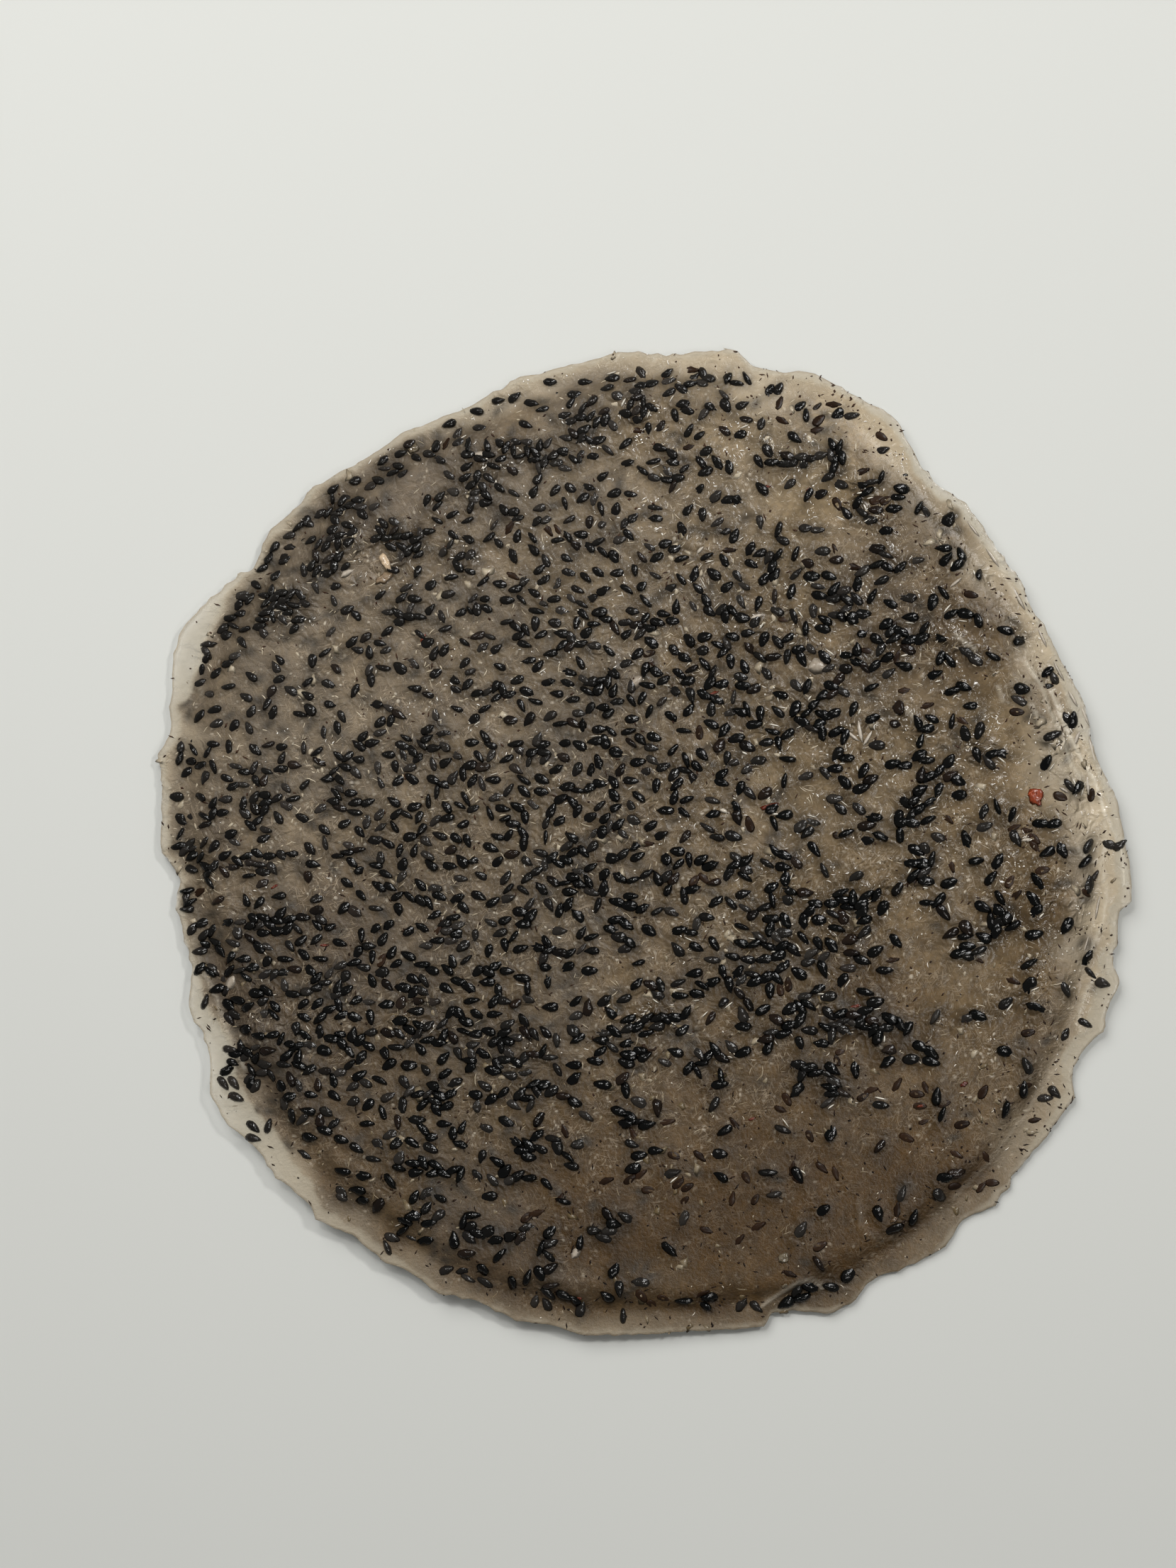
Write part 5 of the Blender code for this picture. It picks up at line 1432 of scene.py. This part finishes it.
def scrap_finish(name, darkest, palest, roughness, shine=0.5):
    """Scraps of the mix: each lies somewhere between two colours, paler where the starch is.
    They are what breaks up the gel to the eye."""
    material, tree, shader = new_finish(name)
    tint = add_node(tree, "ShaderNodeAttribute", attribute_name="tint")
    tone = add_node(tree, "ShaderNodeAttribute", attribute_name="tone")
    place = add_node(tree, "ShaderNodeTexCoord")
    flecks = add_node(tree, "ShaderNodeTexNoise",
                      {"Vector": (place, "Object"), "Scale": per_mm(0.6), "Detail": 2.0})
    share = (tone, "Fac")
    for pattern, strength in (((tint, "Fac"), 0.5), ((flecks, "Fac"), 0.4)):
        share = (add_node(tree, "ShaderNodeMath", {0: pattern, 1: strength, 2: share},
                          operation="MULTIPLY_ADD"), 0)
    placed = add_node(tree, "ShaderNodeMapRange",
                      {"Value": share, "From Min": 0.38, "From Max": 1.24})
    color = add_node(tree, "ShaderNodeMix",
                     {0: (placed, 0), 6: hex_color(darkest), 7: hex_color(palest)},
                     data_type="RGBA")
    tree.links.new(color.outputs[2], shader.inputs["Base Color"])
    shader.inputs["Roughness"].default_value = roughness
    shader.inputs["Specular IOR Level"].default_value = shine
    shader.inputs["IOR"].default_value = 1.5
    return material


# --- the cracker put together ----------------------------------------------------------------
LEAN_STEP = 0.8           # how far either way the face's height is read for its lean
SUNKEN_COUNT = 230        # seeds that only show as dark blots under the face
SUNKEN_GAP = 1.5
BELOW_COUNT = 620         # seeds that show on the underside
BELOW_GAP = 3.0
BELOW_DEPTH = 0.41        # how far over the underside their middles lie, in heights of a seed
BELOW_HAZE = (0.2, 0.4)   # how hazed they are at the least, and how much more at most
HIDDEN_SIZE = 0.95        # of the seeds below and the sunken ones
SEED_LOW, SEED_DEEPER = 0.03, 0.15     # how far under the swell they lie, in heights of a seed
SEED_NOD = 11.0           # spread of how far they nod
SEED_PLUMP = 0.07         # how much their widths differ
SEED_HAZE = 0.70          # how hazed the deepest are
# Where the seeds are hazed more: how much, then x, y and reach.
HAZE_SPOTS = ((0.22, (-72.0, 52.0, 55.0)), (0.16, (0.0, 96.0, 45.0)))
BROWN_SHARE = 0.10        # how many of the seeds have a brown cast
HULL_COUNT = 60           # brown hulls besides those listed
HULL_GAP = 2.0
HULL_SIZE, HULL_SPREAD = 0.9, 0.08
HULL_NOD, SCRAP_NOD, RIDGE_NOD = 5.0, 3.0, 6.0
HULL_WEIGHTS = ((40, -60, 40, 0.8), (0, -80, 30, 0.8), (60, 60, 40, 0.3), (-60, 10, 40, -0.5))
HULL_LIFT, RIDGE_LIFT = 0.02, 0.12     # how far their middles stand over the face
SCRAP_LIFT = 0.25         # the same for listed scraps, as a share of their height
RIDGE_TILT = (0.10, 0.0014, 0.0004)    # how many seeds have a ridge; see tilt
RIDGE_LEAST, RIDGE_MOST, RIDGE_SPARKLE = 0.01, 0.28, 0.30
RIDGE_LOWER = 0.75        # how many of the ridges lie at the lower right of their seeds
RIDGE_WAY = 50.0          # heading of a seed that lies square to the lower right
RIDGE_STEP = (1.1, 1.6)   # from the seed's middle
RIDGE_SWAY = 22.0
RIDGE_SIZES = ((0.8, 2.4), (0.18, 0.42), (0.3, 0.6))     # length, width and height
RIDGE_TINT = (0.5, 1.3)
RIDGE_TONE = (0.4, 0.004)    # how pale in the middle, and how much paler for each mm to the right, where the painted glints are brighter

seeds = lay_sesame()
sunken_places = scattered_seeds(seeds[:, :2], SUNKEN_COUNT, SUNKEN_GAP, SUNKEN_WEIGHTS)
sunken = np.column_stack([sunken_places, draw_headings(SUNKEN_COUNT),
                          np.full(SUNKEN_COUNT, HIDDEN_SIZE), np.ones(SUNKEN_COUNT)])

starch = starch_finish()
sheet = make_sheet(seeds, sunken)
sheet.data.materials.append(starch)


def slopes(x, y):
    """How the bare face leans: its rise along x and along y."""
    return ((bare_face(x + LEAN_STEP, y) - bare_face(x - LEAN_STEP, y)) / (2 * LEAN_STEP),
            (bare_face(x, y + LEAN_STEP) - bare_face(x, y - LEAN_STEP)) / (2 * LEAN_STEP))


def rest_on_face(places, headings, nod):
    """Turns that lay shapes along the face at their headings, nodding a little."""
    rise_x, rise_y = slopes(places[:, 0], places[:, 1])
    turn = np.radians(headings)
    along = rise_x * np.cos(turn) + rise_y * np.sin(turn)
    across = rise_y * np.cos(turn) - rise_x * np.sin(turn)
    nods = np.radians(nod) * draw.standard_normal((2, len(places)))
    return np.column_stack([across + nods[0], nods[1] - along, turn])


def lay_on_face():
    """The black seeds, each at its own depth, and those that show from below."""
    x, y, headings, size, depth = seeds.T
    height = bare_face(x, y) + SWELL_HEIGHT * (1.0 - SWELL_SINK * depth)
    height -= SEED_HEIGHT * (SEED_LOW + SEED_DEEPER * depth)
    below = scattered_seeds(seeds[:1, :2], BELOW_COUNT, BELOW_GAP, ())
    floor_height = underside(*to_polar(*below.T)) + BELOW_DEPTH * SEED_HEIGHT
    places = np.vstack([np.column_stack([x, y, height]),
                        np.column_stack([below, floor_height])])
    headings = np.concatenate([headings, draw_headings(BELOW_COUNT)])
    size = np.concatenate([size, np.full(BELOW_COUNT, HIDDEN_SIZE)])
    turns = rest_on_face(places[:, :2], headings, SEED_NOD)
    turns[len(seeds):, :2] = (math.pi, 0.0)
    plump = 1.0 + SEED_PLUMP * draw.standard_normal(len(size))
    veil = sum(more * spot(x, y, *place) for more, place in HAZE_SPOTS)
    least, more = BELOW_HAZE
    haze = np.concatenate([SEED_HAZE * depth ** 2.0 + veil,
                           least + more * draw.random(BELOW_COUNT)])
    brown = (draw.random(len(size)) < BROWN_SHARE) * draw.random(len(size))
    kinds = draw.integers(0, len(sesame_shapes.objects), len(size))
    return points_mesh("sesame_points", places, turns,
                       np.column_stack([size, size * plump, size]), kinds,
                       haze=haze, brown=brown)


def lay_hulls():
    """The brown hulls, those listed and more among the seeds."""
    rows = np.array(BROWN_HULLS, float)
    more = scattered_seeds(np.vstack([seeds[:, :2], rows[:, :2]]), HULL_COUNT, HULL_GAP,
                           HULL_WEIGHTS)
    places = np.vstack([rows[:, :2], more])
    headings = np.concatenate([rows[:, 2], draw_headings(len(more))])
    height = bare_face(*places.T) + HULL_LIFT
    size = HULL_SIZE + HULL_SPREAD * draw.standard_normal(len(places))
    return points_mesh("hull_points", np.column_stack([places, height]),
                       rest_on_face(places, headings, HULL_NOD), np.column_stack([size] * 3),
                       draw.integers(0, 2, len(places)), tint=draw.random(len(places)),
                       tone=0.5 * np.ones(len(places)))


def lay_scraps(rows, kinds):
    """Scraps told one by one: x, y, heading, length, width, height and which tint."""
    rows = np.array(rows, float)
    places = rows[:, :2]
    height = bare_face(*places.T) + SCRAP_LIFT * rows[:, 5]
    return points_mesh("scrap_points", np.column_stack([places, height]),
                       rest_on_face(places, rows[:, 2], SCRAP_NOD), rows[:, 3:6],
                       np.arange(len(rows)) % kinds, tint=rows[:, 6], tone=0 * rows[:, 6])


def lay_ridges():
    """Ridges of wet gel drawn up along seeds, mostly towards the right, pale as painted glints of
    their slopes.
    """
    x, y, headings = seeds[:, 0], seeds[:, 1], seeds[:, 2]
    wetness = np.clip(tilt(x, y, *RIDGE_TILT), RIDGE_LEAST, RIDGE_MOST)
    wetness = wetness + RIDGE_SPARKLE * sparkle_at(x, y)
    side = np.where(draw.random(len(seeds)) < RIDGE_LOWER, 1.0, -1.0)
    side *= np.where(np.cos(np.radians(headings - RIDGE_WAY)) < 0.0, 1.0, -1.0)
    chosen = draw.random(len(seeds)) < wetness
    step_x, step_y = from_polar(headings + 90.0, side * draw.uniform(*RIDGE_STEP, len(seeds)))
    places = np.column_stack([x + step_x, y + step_y])[chosen]
    count = len(places)
    height = bare_face(*places.T) + RIDGE_LIFT
    ways = headings[chosen] + RIDGE_SWAY * draw.standard_normal(count)
    turns = rest_on_face(places, ways, RIDGE_NOD)
    sizes = np.column_stack([draw.uniform(*span, count) for span in RIDGE_SIZES])
    middle, rise = RIDGE_TONE
    return points_mesh("ridge_points", np.column_stack([places, height]), turns, sizes,
                       draw.integers(0, 2, count), tint=draw.uniform(*RIDGE_TINT, count),
                       tone=middle + rise * places[:, 0])


lay, strew = lay_tree(), strew_tree()
pieces = [sheet]
for name, lay_points, shapes, finish in (
        ("sesame_seeds", lay_on_face, sesame_shapes, sesame_finish()),
        ("sesame_hulls", lay_hulls, hull_shapes,
         scrap_finish("brown_sesame_hull", "#0b0604", "#2c1e14", 0.3, 0.12)),
        # pale ridges that paint the glints of wet gel beside the seeds
        ("gel_ridges", lay_ridges, husk_shapes,
         scrap_finish("drawn_up_gel_glint", "#7d7263", "#d2ccbf", 0.12))):
    pieces.append(grow(name, lay_points(), lay,
                       {"Shapes": shapes, "Scale": 1.0, "Finish": finish}))
for name, shapes, rows, finish in (
        ("red_skins", skin_shapes, RED_SKINS,
         scrap_finish("red_seed_skin", "#45190e", "#b4532f", 0.25)),
        ("golden_husks", skin_shapes, GOLDEN_HUSKS,
         scrap_finish("golden_rice_husk", "#4f3d2b", "#cdb596", 0.2)),
        # pale chips of coconut, and pale slivers that paint glints along the right rim
        ("pale_chips", husk_shapes, PALE_CHIPS_AND_GLINTS,
         scrap_finish("soaked_coconut_chip_and_glint", "#85796a", "#d5cdbf", 0.25)),
        ("bubble_rims", skin_shapes, BUBBLE_RIMS,
         scrap_finish("clear_gel_bead", "#5a5040", "#9d9382", 0.08))):
    pieces.append(grow(name, lay_scraps(rows, len(shapes.objects)), lay,
                       {"Shapes": shapes, "Scale": 1.0, "Finish": finish}))
for name, shapes, where, per_square_mm, smallest, largest, lift, finish in (
        ("coconut_shreds", shred_shapes, "shreds", 0.12, 0.5, 1.2, -0.03,
         scrap_finish("grated_coconut", "#65553b", "#b6aa94", 0.32)),
        ("coconut_flakes", thin_shapes, "flakes", 0.030, 0.8, 3.2, -0.03,
         scrap_finish("coconut_flake", "#5a4c34", "#a69a85", 0.32)),
        ("bran_specks", speck_shapes, "specks", 0.055, 0.5, 1.4, 0.05,
         scrap_finish("bran_speck", "#120a06", "#3d271a", 0.45, 0.2)),
        # near-white crumbs of coconut that paint the glints of the wet starch
        ("coconut_crumbs", crumb_shapes, "crumbs", 0.8, 0.3, 0.95, 0.05,
         scrap_finish("glinting_coconut_crumb", "#b9ad9a", "#f3efe7", 0.15))):
    pieces.append(grow(name, new_mesh(name, [(0, 0, 0)]), strew, {
        "Shapes": shapes, "Surface": sheet, "Where": where, "Density": per_square_mm / MM ** 2,
        "Smallest": smallest, "Largest": largest, "Lift": lift * MM, "Seed": len(pieces),
        "Finish": finish}))
for name in ("shreds", "specks", "flakes", "crumbs"):
    sheet.data.attributes.remove(sheet.data.attributes[name])

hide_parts("cracker")
for piece in pieces:
    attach(piece, "root")

# --- floor, light and camera -----------------------------------------------------------------
FRAME_MIDDLE = (-11.9 * MM, 12.3 * MM)
FRAME_HEIGHT = 335.2 * MM
CAMERA_HEIGHT = 0.62
FLOOR_REACH = 1500.0      # from the middle to its sides
FLOOR_HEIGHT = -0.3       # just under the lowest seed
FLOOR_CORNERS = ((-1, -1), (1, -1), (1, 1), (-1, 1))

floor_mesh = new_mesh("floor", [(x * FLOOR_REACH, y * FLOOR_REACH, FLOOR_HEIGHT)
                                for x, y in FLOOR_CORNERS], [(0, 1, 2, 3)])
floor = add_object("floor", floor_mesh)
floor_finish, _, floor_shader = new_finish("pale_matt_board")
floor_shader.inputs["Base Color"].default_value = hex_color("#c4c5c1")
floor_shader.inputs["Roughness"].default_value = 0.9
floor_mesh.materials.append(floor_finish)


def add_light(name, place, aim, width, power, color, glints=True, spreads=True):
    """A square light that faces a point. The broad one gives no glints, the strips only glints."""
    light = bpy.data.lights.new(name, "AREA")
    light.shape, light.size, light.energy, light.color = "SQUARE", width, power, color
    made = bpy.data.objects.new(name, light)
    made.location = place
    made.rotation_euler = (Vector(aim) - Vector(place)).to_track_quat("-Z", "Y").to_euler()
    made.visible_glossy, made.visible_diffuse = glints, spreads
    bpy.context.scene.collection.objects.link(made)


add_light("window", (-0.40, 0.60, 0.79), (-0.11, 0.12, 0.0), 0.7, 10.0, (1.0, 0.995, 0.99),
          glints=False)
add_light("lamp", (0.35, 0.30, 0.7), (0.03, 0.0, 0.0), 0.09, 2.2, (1.0, 0.99, 0.97))
add_light("far_lamp", (-0.20, 0.38, 0.8), (0.0, 0.0, 0.0), 0.09, 1.2, (1.0, 0.99, 0.97))
add_light("low_lamp", (0.30, -0.22, 0.8), (0.0, 0.0, 0.0), 0.07, 0.7, (1.0, 0.99, 0.97))
add_light("strip", (0.40, 0.42, 0.34), (0.02, 0.0, 0.0), 0.24, 2.4, (1.0, 1.0, 1.0),
          spreads=False)
add_light("low_strip", (0.40, -0.20, 0.50), (0.02, 0.0, 0.0), 0.12, 0.7, (1.0, 0.97, 0.93),
          spreads=False)
world = bpy.data.worlds.new("room")
world.use_nodes = True
world.node_tree.nodes["Background"].inputs["Color"].default_value = hex_color("#e8e8e4")
world.node_tree.nodes["Background"].inputs["Strength"].default_value = 0.17
bpy.context.scene.world = world
bpy.context.scene.view_settings.view_transform = "Standard"

camera_data = bpy.data.cameras.new("camera")
camera_data.sensor_fit = "VERTICAL"
camera_data.angle_y = 2.0 * math.atan(0.5 * FRAME_HEIGHT / CAMERA_HEIGHT)
camera = bpy.data.objects.new("camera", camera_data)
camera.location = (*FRAME_MIDDLE, CAMERA_HEIGHT)
bpy.context.scene.collection.objects.link(camera)
bpy.context.scene.camera = camera
